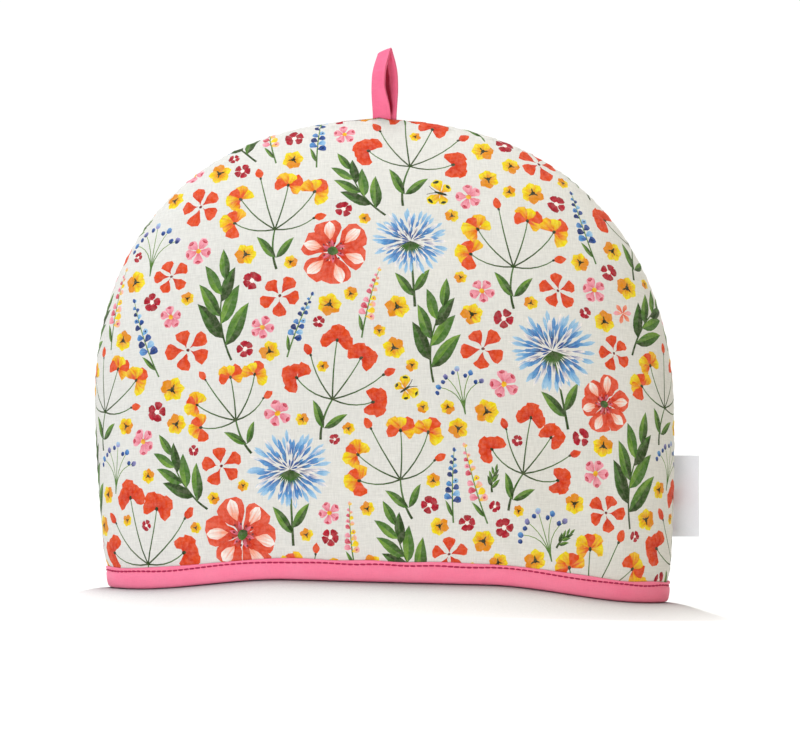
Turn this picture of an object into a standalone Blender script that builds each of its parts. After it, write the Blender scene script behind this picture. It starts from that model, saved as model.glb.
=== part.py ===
"""A padded tea cosy that stands on its hem.

Two padded, dome-shaped panels are sewn together over the crown and down both sides. A bias
binding wraps the hem all the way round, a folded tape makes a hanging loop in the crown seam,
and a small folded tab sits in the right-hand side seam. Units are metres, +Z is up, the front
panel faces -Y, and the whole piece stands on Z = 0, centred on its bounding box.
"""

import math

import bmesh
import bpy
from mathutils import Matrix, Vector

MM = 0.001

# The dome
HALF_WIDTH = 168 * MM
CROWN_HEIGHT = 281 * MM
HALF_DEPTH = 75 * MM
WIDEST_HEIGHT = 110 * MM
DEEPEST_HEIGHT = 60 * MM
HEM_DRAW_IN_WIDTH = 5.5 * MM
HEM_DRAW_IN_DEPTH = 4 * MM
LEAN_AT_HEM = 2.5 * MM
LEAN_AT_CROWN = -2.5 * MM
OUTLINE_POWER = 2.2
PROFILE_POWER_HEIGHT = 2.0
PROFILE_POWER_DEPTH = 1.4
SECTION_POWER = 2.15

# The padded wall: outer cloth, wadding and inner cloth as one thickness
WALL = 6 * MM
CROWN_WALL = 9 * MM
GAP = 0.3 * MM

# The hem is cut a little aslant, higher at its left end, and rises in the middle of the front and
# back. The cosy stands on the two ends, so the whole of it is turned until both touch.
HEM_SLANT = 0.0271
HEM_RIGHT_END = 165 * MM
HEM_RISE = 8.8 * MM
RISE_STARTS_LEFT = -150 * MM
RISE_FULL_LEFT = -54 * MM
RISE_FULL_RIGHT = 58 * MM
RISE_ENDS_RIGHT = 154 * MM
RISE_FADES_FROM = 25 * MM
RISE_FADES_OVER = 130 * MM

# The bias binding, a channel folded round the hem
BINDING_HEIGHT = 12 * MM
BINDING_CLOTH = 1.0 * MM
BINDING_PROUD = 0.3 * MM
HEM_WALL = 3.4 * MM
SWELL_HEIGHT = 10 * MM
BINDING_REST_WIDTH = 3 * MM
BINDING_EDGE = 0.3 * MM
BINDING_INNER_DROP = 0.5 * MM

# The hanging loop, a folded tape
LOOP_HEIGHT = 40 * MM
LOOP_TAIL = 8 * MM
TAPE_WIDTH = 10.5 * MM
TAPE_THICKNESS = 1.4 * MM
LOOP_HALF_OPENING = 5.2 * MM
LOOP_CENTRE_X = 0.6 * MM
LOOP_ROOT_SPREAD = 1.6 * MM
LOOP_ROOT_TWIST = math.radians(6)
LOOP_TWIST = math.radians(44)
LOOP_TOP_SLOPE = 0.28
LOOP_STEPS = 26

# The folded tab in the side seam
TAB_HEIGHT = 47 * MM
TAB_LOW_EDGE = 38 * MM
TAB_OUT = 14.5 * MM
TAB_TAIL = 5 * MM
TAB_THICKNESS = 1.2 * MM
TAB_CURL = 1.6 * MM

# Facets
COLUMNS = 32
LOW_ROWS = 6
HIGH_ROWS = 15
TAB_STEPS = 9

# Soft swells (positive) and troughs (negative) pressed into the padding
SWELL_COLUMNS = ("side", "x", "height", "half_length", "half_width", "turn_deg", "out")
SWELLS = (
    ("front", 5, 150, 105, 75, 0, 2.2),
    ("front", 98, 62, 62, 17, -14, -2.2),
    ("front", -84, 50, 52, 18, 16, -1.8),
    ("front", 46, 205, 52, 18, -56, -1.5),
    ("front", -104, 150, 58, 20, 24, -1.7),
    ("front", 128, 128, 48, 16, 8, -1.2),
    ("front", -28, 88, 46, 16, 62, -1.2),
    ("back", -8, 140, 100, 80, 0, 2.0),
    ("back", -92, 66, 60, 18, 12, -2.0),
    ("back", 74, 120, 60, 20, -20, -1.8),
    ("back", -36, 200, 50, 18, 48, -1.4),
)
SWELL_SEAM_FADE = 0.35
SWELL_CROWN_FADE = 60 * MM

COLOURS = {
    "front_panel": ((0.83, 0.80, 0.72), 0.9),
    "back_panel": ((0.83, 0.80, 0.72), 0.9),
    "hem_binding": ((0.95, 0.14, 0.29), 0.75),
    "hanging_loop": ((0.95, 0.14, 0.29), 0.7),
    "side_tab": ((0.86, 0.86, 0.84), 0.5),
}


def clear_scene():
    for thing in list(bpy.data.objects):
        bpy.data.objects.remove(thing)


def smooth_step(low, high, value):
    share = min(1.0, max(0.0, (value - low) / (high - low)))
    return share * share * (3 - 2 * share)


def signed_power(value, power):
    return math.copysign(abs(value) ** power, value)


def lean(height):
    """How far the middle of the dome stands to the side at this height."""
    return LEAN_AT_HEM + (LEAN_AT_CROWN - LEAN_AT_HEM) * height / CROWN_HEIGHT


def crown_at(inset):
    """The height of the crown of a surface that lies this far inside the outer one."""
    return CROWN_HEIGHT - inset * CROWN_WALL / WALL


def half_width(height, inset):
    widest = HALF_WIDTH - inset
    if height < WIDEST_HEIGHT:
        drop = 1 - height / WIDEST_HEIGHT
        return widest - HEM_DRAW_IN_WIDTH * drop * drop
    climb = min(1.0, (height - WIDEST_HEIGHT) / (crown_at(inset) - WIDEST_HEIGHT))
    return widest * (1 - climb**OUTLINE_POWER) ** (1 / OUTLINE_POWER)


def half_depth(height, inset):
    deepest = HALF_DEPTH - inset
    if height < DEEPEST_HEIGHT:
        drop = 1 - height / DEEPEST_HEIGHT
        return deepest - HEM_DRAW_IN_DEPTH * drop * drop
    climb = min(1.0, (height - DEEPEST_HEIGHT) / (crown_at(inset) - DEEPEST_HEIGHT))
    return deepest * (1 - climb**PROFILE_POWER_HEIGHT) ** (1 / PROFILE_POWER_DEPTH)


def hem_rise(x):
    """How far the hem is cut up at this distance from the middle, before the cosy is stood up."""
    left = smooth_step(RISE_STARTS_LEFT, RISE_FULL_LEFT, x)
    right = smooth_step(RISE_ENDS_RIGHT, RISE_FULL_RIGHT, x)
    return HEM_SLANT * (HEM_RIGHT_END - x) + HEM_RISE * left * right


def soft_swell(side, x, height, angle, crown):
    """How far the padding stands out here, from the table of soft swells and troughs."""
    total = 0.0
    for row in SWELLS:
        swell = dict(zip(SWELL_COLUMNS, row))
        if swell["side"] != side:
            continue
        turn = math.radians(swell["turn_deg"])
        across = x - swell["x"] * MM
        up = height - swell["height"] * MM
        along_it = across * math.sin(turn) + up * math.cos(turn)
        over_it = across * math.cos(turn) - up * math.sin(turn)
        reach = (along_it / swell["half_length"]) ** 2 + (over_it / swell["half_width"]) ** 2
        total += swell["out"] * MM * math.exp(-reach / MM**2)
    at_seam = smooth_step(0, SWELL_SEAM_FADE, abs(math.cos(angle)))
    at_hem = smooth_step(BINDING_HEIGHT, BINDING_HEIGHT + 3 * SWELL_HEIGHT, height)
    at_crown = smooth_step(crown, crown - SWELL_CROWN_FADE, height)
    return total * at_seam * at_hem * at_crown


def dome_point(angle, height, inset):
    """A point of the dome. The angle is 0 at the front's middle and 90 degrees at the right seam."""
    side = "front" if math.cos(angle) >= 0 else "back"
    outline = half_width(height, 0)
    swell = soft_swell(side, outline * math.sin(angle), height, angle, crown_at(inset))
    width = half_width(height, inset - swell)
    depth = half_depth(height, inset - swell)
    x = lean(height) + width * signed_power(math.sin(angle), 2 / SECTION_POWER)
    y = -depth * signed_power(math.cos(angle), 2 / SECTION_POWER)
    fade = 1 - smooth_step(RISE_FADES_FROM, RISE_FADES_FROM + RISE_FADES_OVER, height)
    return Vector((x, y, height + hem_rise(x) * fade))


def row_heights(inset):
    """The heights of the rows of facets: the bound hem, the lower walls, then the crown's arc."""
    first = BINDING_CLOTH + GAP
    bound = [first, BINDING_HEIGHT - MM, BINDING_HEIGHT + GAP]
    swelling = [BINDING_HEIGHT + GAP + SWELL_HEIGHT * share for share in (0.25, 0.55, 1)]
    rise = WIDEST_HEIGHT - swelling[-1]
    lower = [swelling[-1] + rise * step / LOW_ROWS for step in range(1, LOW_ROWS)]
    arc = []
    for step in range(HIGH_ROWS + 1):
        climb = math.sin(math.pi / 2 * step / HIGH_ROWS) ** (2 / OUTLINE_POWER)
        arc.append(WIDEST_HEIGHT + climb * (crown_at(inset) - WIDEST_HEIGHT))
    return bound + swelling + lower + arc


def wall_inset(height, outside):
    """The depth of the wall's outer or inner face: squeezed thin in the binding, full above it."""
    full = 0 if outside else WALL
    bound = BINDING_PROUD + BINDING_CLOTH + GAP
    bound = bound if outside else bound + HEM_WALL
    swollen = smooth_step(BINDING_HEIGHT, BINDING_HEIGHT + SWELL_HEIGHT, height)
    return bound + (full - bound) * math.sqrt(swollen)


def add_object(name, mesh, collection):
    thing = bpy.data.objects.new(name, mesh)
    collection.objects.link(thing)
    return thing


def finish_mesh(name, solid):
    mesh = bpy.data.meshes.new(name)
    solid.to_mesh(mesh)
    solid.free()
    return mesh


def panel_point(column, row, first_angle, outside):
    """The place of one corner of a panel's grid, kept half the seam's gap from the other panel."""
    height = row_heights(0 if outside else WALL)[row]
    angle = first_angle + math.pi * column / COLUMNS
    point = dome_point(angle, height, wall_inset(height, outside))
    facing = -math.cos(first_angle + math.pi / 2)
    point.y = facing * max(abs(point.y), GAP / 2)
    return point


def build_panel(name, middle_angle, collection):
    """A padded panel: a grid shaped as its outer face, extruded inwards to its inner face.

    The extrusion makes the rim along the seam and the hem. The grid's top row closes to one
    point at the crown.
    """
    rows = len(row_heights(0)) - 1
    first_angle = middle_angle - math.pi / 2
    solid = bmesh.new()
    column_of = solid.verts.layers.int.new("column")
    row_of = solid.verts.layers.int.new("row")
    bmesh.ops.create_grid(solid, x_segments=COLUMNS, y_segments=rows, size=0.5)
    for corner in solid.verts:
        corner[column_of] = round((corner.co.x + 0.5) * COLUMNS)
        corner[row_of] = round((corner.co.y + 0.5) * rows)
    outer = list(solid.verts)
    bmesh.ops.extrude_face_region(solid, geom=solid.faces[:], use_keep_orig=True)
    inner = set(solid.verts) - set(outer)
    for corners, outside in ((outer, True), (inner, False)):
        for corner in corners:
            corner.co = panel_point(corner[column_of], corner[row_of], first_angle, outside)
    bmesh.ops.remove_doubles(solid, verts=solid.verts, dist=1e-6)
    bmesh.ops.recalc_face_normals(solid, faces=solid.faces)
    return add_object(name, finish_mesh(name, solid), collection)


def binding_section():
    """The channel's outline as (inset, height): up the outer leg, then down the inner one."""
    outer = BINDING_PROUD
    channel = outer + BINDING_CLOTH
    far = channel + HEM_WALL + 2 * GAP
    inner = far + BINDING_CLOTH
    top = BINDING_HEIGHT
    inner_top = top - BINDING_INNER_DROP
    middle = (outer + inner) / 2
    rest = BINDING_REST_WIDTH / 2
    edge = BINDING_EDGE
    return (
        (middle - rest, 0),
        (outer + edge, 2 * edge),
        (outer, 2 * MM),
        (outer, top - edge),
        (outer + edge, top),
        (channel - edge, top),
        (channel, top - edge),
        (channel, BINDING_CLOTH),
        (far, BINDING_CLOTH),
        (far, inner_top - edge),
        (far + edge, inner_top),
        (inner - edge, inner_top),
        (inner, inner_top - edge),
        (inner, 2 * MM),
        (inner - edge, 2 * edge),
        (middle + rest, 0),
    )


def build_binding(name, collection):
    """The binding: its channel section carried round the hem and closed on itself."""
    section = binding_section()
    around = 2 * COLUMNS
    solid = bmesh.new()
    grid = bmesh.ops.create_grid(
        solid, x_segments=around, y_segments=len(section), size=0.5
    )
    for corner in grid["verts"]:
        column = round((corner.co.x + 0.5) * around)
        place = round((corner.co.y + 0.5) * len(section)) % len(section)
        inset, height = section[place]
        corner.co = dome_point(2 * math.pi * (column % around) / around, height, inset)
    bmesh.ops.remove_doubles(solid, verts=solid.verts, dist=1e-6)
    bmesh.ops.recalc_face_normals(solid, faces=solid.faces)
    return add_object(name, finish_mesh(name, solid), collection)


def loop_station(share):
    """The tape's centre, half-width arrow and half-thickness arrow at this share of its length."""
    turn = 2 * share - 1
    leg = math.copysign(1, turn) if turn else 1.0
    reach = 1 - abs(turn)
    length = LOOP_HEIGHT + LOOP_TAIL
    level = length * (1 - (1 - reach) ** 1.15) - LOOP_TAIL
    climb = max(0.0, level / LOOP_HEIGHT)
    touching = TAPE_THICKNESS / 2 + GAP / 2
    belly = math.sin(math.pi * climb**1.2) ** 1.1 if 0 < climb < 1 else 0.0
    closing = math.sqrt(max(0.0, 1 - climb**8))
    apart = (touching + (LOOP_HALF_OPENING - touching) * belly) * closing
    twist = LOOP_ROOT_TWIST + (LOOP_TWIST - LOOP_ROOT_TWIST) * smooth_step(0, 0.5, climb)
    twist *= smooth_step(-LOOP_TAIL / 2, LOOP_TAIL / 4, level)
    across = Vector((math.cos(twist), -math.sin(twist), 0))
    forward = Vector((-math.sin(twist), -math.cos(twist), 0))
    spread = LOOP_ROOT_SPREAD * (1 - smooth_step(0.1, 0.6, climb))
    centre = Vector((leg * spread, 0, level)) - forward * leg * apart
    return centre, across, climb


def tape_corner(share, across_it, through_it):
    """A corner of the tape: its place along, across and through the tape, the last two -0.5 to 0.5."""
    centre, across, climb = loop_station(share)
    before = loop_station(max(share - 1 / LOOP_STEPS, 0))[0]
    after = loop_station(min(share + 1 / LOOP_STEPS, 1))[0]
    through = (after - before).cross(across).normalized()
    slope = Vector((0, 0, LOOP_TOP_SLOPE * climb * climb))
    return centre + (across + slope) * TAPE_WIDTH * across_it + through * TAPE_THICKNESS * through_it


def build_strip(name, steps, place, collection):
    """A strip: a block cut into steps along its length, each corner then moved to its place."""
    solid = bmesh.new()
    bmesh.ops.create_cube(solid, size=1)
    long_edges = [
        edge for edge in solid.edges if abs((edge.verts[0].co - edge.verts[1].co).x) > 0.5
    ]
    bmesh.ops.subdivide_edges(solid, edges=long_edges, cuts=steps - 1, use_grid_fill=True)
    for corner in solid.verts:
        corner.co = place(corner.co.x + 0.5, corner.co.y, corner.co.z)
    return add_object(name, finish_mesh(name, solid), collection)


def build_loop(name, collection):
    """The hanging loop: a tape that rises from the seam, turns over and comes back down."""
    root = Vector((LOOP_CENTRE_X, 0, CROWN_HEIGHT))

    def place(along, across, through):
        return root + tape_corner(along, across, through)

    return build_strip(name, LOOP_STEPS, place, collection)


def tab_seam_x():
    """Where the right-hand seam stands at the middle of the tab."""
    return dome_point(math.pi / 2, TAB_LOW_EDGE + TAB_HEIGHT / 2, 0).x


def build_tab(name, collection):
    """The side tab: a folded strip that leaves the seam and curls a little to the front."""
    seam_x = tab_seam_x()

    def place(along, through, up):
        x = seam_x - TAB_TAIL + along * (TAB_TAIL + TAB_OUT)
        past = max(0.0, x - seam_x) / TAB_OUT
        y = through * TAB_THICKNESS - TAB_CURL * past * past
        return Vector((x, y, TAB_LOW_EDGE + (up + 0.5) * TAB_HEIGHT))

    return build_strip(name, TAB_STEPS, place, collection)


def add_cutter(name, low, high, collection):
    """A plain block, from its low corner to its high corner, that makes room for a sewn-in end."""
    solid = bmesh.new()
    size = high - low
    bmesh.ops.create_cube(
        solid, size=1, matrix=Matrix.Translation((low + high) / 2) @ Matrix.Diagonal((*size, 1))
    )
    cutter = add_object(name, finish_mesh(name, solid), collection)
    cutter.hide_render = True
    cutter.display_type = "WIRE"
    return cutter


def loop_pocket(collection):
    half_long = TAPE_WIDTH / 2 + LOOP_ROOT_SPREAD + GAP
    half_thick = TAPE_THICKNESS + 2 * GAP + TAPE_WIDTH / 2 * math.sin(LOOP_ROOT_TWIST)
    middle = Vector((LOOP_CENTRE_X, 0, CROWN_HEIGHT))
    low = middle - Vector((half_long, half_thick, LOOP_TAIL + GAP))
    high = middle + Vector((half_long, half_thick, LOOP_TAIL))
    return add_cutter("loop_pocket", low, high, collection)


def tab_pocket(collection):
    seam_x = tab_seam_x()
    half_thick = TAB_THICKNESS / 2 + GAP
    low = Vector((seam_x - TAB_TAIL - GAP, -half_thick, TAB_LOW_EDGE - GAP))
    high = Vector((seam_x + TAB_OUT, half_thick, TAB_LOW_EDGE + TAB_HEIGHT + GAP))
    return add_cutter("tab_pocket", low, high, collection)


def cut_from(panel, cutters):
    for cutter in cutters:
        cut = panel.modifiers.new(cutter.name, "BOOLEAN")
        cut.operation = "DIFFERENCE"
        cut.object = cutter


def stand_up(pieces, cutters, collection):
    """Turns everything until both ends of the hem touch the table, and centres it over the origin."""
    standing = add_object("standing", None, collection)
    standing.rotation_euler = (0, -math.atan(HEM_SLANT), 0)
    turn = standing.rotation_euler.to_matrix()
    corners = [turn @ corner.co for piece in pieces for corner in piece.data.vertices]
    left = min(corner.x for corner in corners)
    right = max(corner.x for corner in corners)
    low = min(corner.z for corner in corners)
    standing.location = (-(left + right) / 2, 0, -low)
    for thing in (*pieces, *cutters):
        thing.parent = standing


def dress(thing):
    """Gives the object its own plain material and smooth shading."""
    colour, roughness = COLOURS[thing.name]
    material = bpy.data.materials.new(thing.name)
    material.use_nodes = True
    shader = material.node_tree.nodes["Principled BSDF"]
    shader.inputs["Base Color"].default_value = (*colour, 1)
    shader.inputs["Roughness"].default_value = roughness
    shader.inputs["Metallic"].default_value = 0
    thing.data.materials.append(material)
    thing.data.shade_smooth()
    thing.data.set_sharp_from_angle(angle=math.radians(40))


def main():
    clear_scene()
    parts = bpy.data.collections.new("tea_cosy")
    cutters = bpy.data.collections.new("cutters")
    for collection in (parts, cutters):
        bpy.context.scene.collection.children.link(collection)
    front = build_panel("front_panel", 0, parts)
    back = build_panel("back_panel", math.pi, parts)
    binding = build_binding("hem_binding", parts)
    loop = build_loop("hanging_loop", parts)
    tab = build_tab("side_tab", parts)
    pockets = [loop_pocket(cutters), tab_pocket(cutters)]
    for panel in (front, back):
        cut_from(panel, pockets)
    pieces = (front, back, binding, loop, tab)
    stand_up(pieces, pockets, parts)
    for piece in pieces:
        dress(piece)


main()
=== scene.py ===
# %% [markdown]
# # A padded tea cosy in printed linen
# Two dome-shaped panels of flowered cloth over wadding, sewn together over the crown and down both
# sides, with a pink bias binding round the hem, a pink hanging loop and a plain white side tab.
#
# The order of work is the order in which the real thing is made: print the cloth, cut and pad the
# panels, bind the hem, add the loop and the tab, then stand it in the light of a small studio.

# %%
import math
from collections import namedtuple

import bpy
import numpy as np
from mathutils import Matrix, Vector
from mathutils.geometry import delaunay_2d_cdt
from mathutils.kdtree import KDTree


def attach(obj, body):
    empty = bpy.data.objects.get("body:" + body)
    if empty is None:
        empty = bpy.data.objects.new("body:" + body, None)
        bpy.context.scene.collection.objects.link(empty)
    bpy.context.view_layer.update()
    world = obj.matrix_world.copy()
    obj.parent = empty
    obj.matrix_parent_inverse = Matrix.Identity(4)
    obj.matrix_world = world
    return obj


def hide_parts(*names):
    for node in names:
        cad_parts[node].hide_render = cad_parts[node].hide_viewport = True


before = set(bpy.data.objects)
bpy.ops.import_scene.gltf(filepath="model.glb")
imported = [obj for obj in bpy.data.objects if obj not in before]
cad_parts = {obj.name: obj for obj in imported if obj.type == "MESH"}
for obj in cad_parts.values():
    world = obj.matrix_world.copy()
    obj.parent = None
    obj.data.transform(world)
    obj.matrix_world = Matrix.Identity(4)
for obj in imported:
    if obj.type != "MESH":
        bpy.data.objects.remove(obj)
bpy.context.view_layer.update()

print("nodes:", ", ".join(sorted(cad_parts)))


# %% [markdown]
# Lengths below are in millimetres, because cloth is thought of in millimetres: a thread is 0.5, a
# stitch is 3, a seam's dip is 1.6. They become metres only when a mesh is made.

# %% Small helpers
MM = 0.001


def linear(code):
    """A screen colour such as "#EE5A3A" as linear red, green and blue."""
    parts = (int(code[place : place + 2], 16) / 255 for place in (1, 3, 5))
    return tuple(v / 12.92 if v <= 0.04045 else ((v + 0.055) / 1.055) ** 2.4 for v in parts)


def smooth_step(low, high, value):
    share = np.clip((np.asarray(value, float) - low) / (high - low), 0, 1)
    return share * share * (3 - 2 * share)


def signed_power(value, power):
    return np.sign(value) * np.abs(value) ** power


def running_length(line):
    """How far along a line of points each one lies, from 0 at its start."""
    return np.concatenate(((0,), np.cumsum(np.linalg.norm(np.diff(line, axis=0), axis=1))))


def unit(arrows):
    """The same arrows, each 1 long."""
    return arrows / np.maximum(np.linalg.norm(arrows, axis=1), 1e-9)[:, None]


def lump(row, across, up, bend=0.0):
    """How far a long soft lump stands out at a place, from its row in a table."""
    middle_across, middle_up, half_length, half_width, lean_deg, out = row
    across, up, angle = across - middle_across, up - middle_up, math.radians(lean_deg)
    along = across * math.sin(angle) + up * math.cos(angle)
    beside = across * math.cos(angle) - up * math.sin(angle) + bend * along**2
    return out * np.exp(-((along / half_length) ** 2) - (beside / half_width) ** 2)


print(f"a pink such as #FF789D is {tuple(round(v, 3) for v in linear('#FF789D'))} in linear light")


# %% [markdown]
# ## The dome
# The padded shape is a set of formulas, not a heap of vertices: a superellipse for the outline, one
# for the side profile and one for each level section. So any piece can ask for the point at a given
# angle, height and depth below the surface, and everything sewn to the dome fits it.

# %% Sizes of the dome, in millimetres
HALF_WIDTH, HALF_DEPTH, DOME_HEIGHT = 168.0, 75.0, 281.0
WIDEST_HEIGHT, DEEPEST_HEIGHT = 110.0, 60.0
HEM_DRAW_IN_WIDTH, HEM_DRAW_IN_DEPTH = 5.5, 4.0
LEAN_AT_HEM, LEAN_AT_CROWN = 2.5, -2.5
OUTLINE_POWER, PROFILE_POWER_HEIGHT, PROFILE_POWER_DEPTH, SECTION_POWER = 2.2, 2.0, 1.4, 2.15
WALL, CROWN_WALL, HEM_WALL, GAP = 6.0, 9.0, 3.4, 0.3
HEM_RISE, HEM_SLANT, HEM_RIGHT_END = 8.8, 0.0271, 165.0
BINDING_HEIGHT, BINDING_CLOTH, BINDING_PROUD = 12.0, 1.0, 0.3
SWELL_HEIGHT = 10.0
ARCH_STARTS, ARCH_ENDS, RISE_FADES = (-150, -54), (58, 154), (25, 155)
TAB_OUT, TAB_HEIGHT, TAB_LOW_EDGE, LOOP_CENTRE_X = 14.5, 47.0, 38.0, 0.6

SWELLS = {
    # x, height, half length, half width, degrees to the right, how far out
    "front": (
        (5, 150, 105, 75, 0, 2.2),
        (98, 62, 62, 17, -14, -2.2),
        (-84, 50, 52, 18, 16, -1.8),
        (46, 205, 52, 18, -56, -1.5),
        (-104, 150, 58, 20, 24, -1.7),
        (128, 128, 48, 16, 8, -1.2),
        (-28, 88, 46, 16, 62, -1.2),
    ),
    "back": (
        (-8, 140, 100, 80, 0, 2.0),
        (-92, 66, 60, 18, 12, -2.0),
        (74, 120, 60, 20, -20, -1.8),
        (-36, 200, 50, 18, 48, -1.4),
    ),
}


# %% The dome's formulas
def lean(height):
    """How far the middle of the dome stands to the side at this height."""
    return LEAN_AT_HEM + (LEAN_AT_CROWN - LEAN_AT_HEM) * height / DOME_HEIGHT


def crown_at(inset):
    return DOME_HEIGHT - inset * CROWN_WALL / WALL


def drawn_in(full, draw_in, level, height, inset, power_in, power_out):
    """A half-width or half-depth: drawn in below its fullest level, closing to nothing above."""
    drop = np.clip(1 - height / level, 0, 1)
    climb = np.clip((height - level) / (crown_at(inset) - level), 0, 1)
    return (full - inset) * (1 - climb**power_in) ** (1 / power_out) - draw_in * drop**2


def half_width(height, inset):
    powers = (OUTLINE_POWER, OUTLINE_POWER)
    return drawn_in(HALF_WIDTH, HEM_DRAW_IN_WIDTH, WIDEST_HEIGHT, height, inset, *powers)


def half_depth(height, inset):
    powers = (PROFILE_POWER_HEIGHT, PROFILE_POWER_DEPTH)
    return drawn_in(HALF_DEPTH, HEM_DRAW_IN_DEPTH, DEEPEST_HEIGHT, height, inset, *powers)


def soft_swell(front, x, height, angle, crown):
    """How far the padding stands out, from the table of soft swells and troughs."""
    total = 0.0
    for side, rows in SWELLS.items():
        for row in rows:
            total = total + (front == (side == "front")) * lump(row, x, height)
    off_seam = smooth_step(0, 0.35, np.abs(np.cos(angle)))
    off_hem = smooth_step(BINDING_HEIGHT, BINDING_HEIGHT + 3 * SWELL_HEIGHT, height)
    off_crown = 1 - smooth_step(crown - 60, crown, height)
    return total * off_seam * off_hem * off_crown


def hem_rise(x):
    """How far the hem is cut up: a little aslant, and risen between its two ends."""
    arch = smooth_step(*ARCH_STARTS, x) * (1 - smooth_step(*ARCH_ENDS, x))
    return HEM_SLANT * (HEM_RIGHT_END - x) + HEM_RISE * arch


def dome(angle, height, inset):
    """Points of the dome as cut. The angle is 0 at the front and a quarter turn at the right."""
    angle, height, inset = np.broadcast_arrays(angle, np.asarray(height, float), inset)
    front = np.cos(angle) >= 0
    guide = half_width(height, 0) * np.sin(angle)
    inset = inset - soft_swell(front, guide, height, angle, crown_at(inset))
    power = 2 / SECTION_POWER
    x = lean(height) + half_width(height, inset) * signed_power(np.sin(angle), power)
    y = -half_depth(height, inset) * signed_power(np.cos(angle), power)
    return np.stack((x, y, height + hem_rise(x) * (1 - smooth_step(*RISE_FADES, height))), axis=-1)


def wall_inset(height, outside):
    """How deep the cloth's face lies: squeezed thin in the binding, full above it."""
    bound = BINDING_PROUD + BINDING_CLOTH + GAP + (0 if outside else HEM_WALL)
    full = 0 if outside else WALL
    swollen = smooth_step(BINDING_HEIGHT, BINDING_HEIGHT + SWELL_HEIGHT, height)
    return bound + (full - bound) * np.sqrt(swollen)


# %% [markdown]
# The hem is cut aslant, so the finished cosy is turned a little until both ends of its hem touch
# the table, and its bounding box is centred over the origin. The camera is turned with it.

# %% Standing the cosy up
STANDING_TURN = math.atan(HEM_SLANT)
STANDING_PLACE = (-5.598, 0.0, -4.470)


def stood_up(arrows):
    """Directions on the cosy as cut, turned as it stands."""
    x, y, z = np.moveaxis(np.asarray(arrows, float), -1, 0)
    cos, sin = math.cos(STANDING_TURN), math.sin(STANDING_TURN)
    return np.stack((x * cos - z * sin, y, x * sin + z * cos), axis=-1)


def stand(points):
    """Points on the cosy as cut, moved to where they are when it stands."""
    return stood_up(points) + STANDING_PLACE


print(f"the cosy is turned {math.degrees(STANDING_TURN):.2f} degrees to stand on its hem")


# %% [markdown]
# ## The printed meadow
# The cloth carries a scattered meadow of painted flowers. A print like this is drawn on paper, then
# repeated over the cloth, so the drawing is done here on the flat cloth too, in millimetres, before
# anything is bent round the dome. It could be done in a material with Voronoi cells, but every cell
# would hold the same flower. It could also be an image, but an image has one sharpness. Instead
# each brush stroke is a small closed outline with two inks, one at its root and one at its tip. The
# outlines later become edges of the cloth's own mesh, so the print is sharp at any distance, and
# the material only has to mix the two inks and add the streaks of the brush.


# %% A brush stroke and its shapes
Stroke = namedtuple("Stroke", "outline root_ink tip_ink origin angle length width")
paint = np.random.default_rng(11)


def turned(points, angle, origin):
    """Points turned anticlockwise by an angle in radians, then moved to an origin."""
    cos, sin = math.cos(angle), math.sin(angle)
    return np.asarray(points) @ np.array(((cos, sin), (-sin, cos))) + np.asarray(origin)


def pointing(angle):
    """An arrow of length 1 in the direction of an angle."""
    return np.array((math.cos(angle), math.sin(angle)))


def hand_drawn(outline, amount):
    """The same outline with the small unevenness of a brush held by hand."""
    return outline + paint.normal(0, amount, outline.shape)


def petal(origin, angle, length, width, inks, fullness=1.5, notch=0.0, steps=6):
    """A petal from its narrow root to its round tip. Fullness moves its widest place outwards."""
    share = np.linspace(0, 1, steps + 1)[1:-1]
    half = width / 2 * np.sin(math.pi * share**fullness) ** 0.75
    left = np.column_stack((share * length, half))
    right = np.column_stack((share * length, -half))[::-1]
    outline = np.vstack(((0, 0), right[::-1], (length * (1 - notch), 0), left[::-1]))
    outline = hand_drawn(outline, 0.03 * width)
    return Stroke(turned(outline, angle, origin), *inks, origin, angle, length, width)


def dab(centre, length, width, angle, inks, steps=9):
    """A round or oval dab of the brush."""
    turn = np.arange(steps) * 2 * math.pi / steps
    outline = np.column_stack((length / 2 * np.cos(turn), width / 2 * np.sin(turn)))
    outline = turned(hand_drawn(outline, 0.04 * width), angle, centre)
    origin = np.asarray(centre) - length / 2 * pointing(angle)
    return Stroke(outline, *inks, origin, angle, length, width)


def curve_through(start, middle, end, steps):
    """Points on a smooth curve from start to end that leans towards middle."""
    share = np.linspace(0, 1, steps)[:, None]
    start, middle, end = (np.asarray(point, float) for point in (start, middle, end))
    return (1 - share) ** 2 * start + 2 * share * (1 - share) * middle + share**2 * end


def stem(points, root_width, tip_width, inks):
    """A thin line of paint along a curve, tapering from its root to its tip."""
    run = unit(np.gradient(points, axis=0))
    side = np.column_stack((-run[:, 1], run[:, 0]))
    half = np.linspace(root_width, tip_width, len(points))[:, None] / 2
    outline = np.vstack((points - side * half, (points + side * half)[::-1]))
    reach = points[-1] - points[0]
    angle = math.atan2(reach[1], reach[0])
    return Stroke(outline, *inks, points[0], angle, np.linalg.norm(reach), root_width)


def leaf(root, angle, length, width, inks, bend=0.12, steps=6):
    """A pointed leaf in two halves, one lighter than the other, that meet along its bent midrib."""
    share = np.linspace(0, 1, steps + 1)
    rib = np.column_stack((share * length, bend * length * np.sin(math.pi * share / 2) ** 2))
    half = width / 2 * np.sin(math.pi * share**0.85) ** 0.9
    halves = []
    for side, ink_pair in zip((1, -1), inks):
        edge = rib + np.column_stack((0 * half, side * half))
        outline = np.vstack((rib, edge[-2:0:-1]))
        shape = turned(outline, angle, root)
        halves.append(Stroke(shape, *ink_pair, root, angle, length, width))
    return halves


# %% [markdown]
# The inks. This print has about twenty of them, and each one shows its own strength: paint that
# pools at the root of a petal is darker than the thin wash at its tip, which is why a stroke has
# two.

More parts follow.
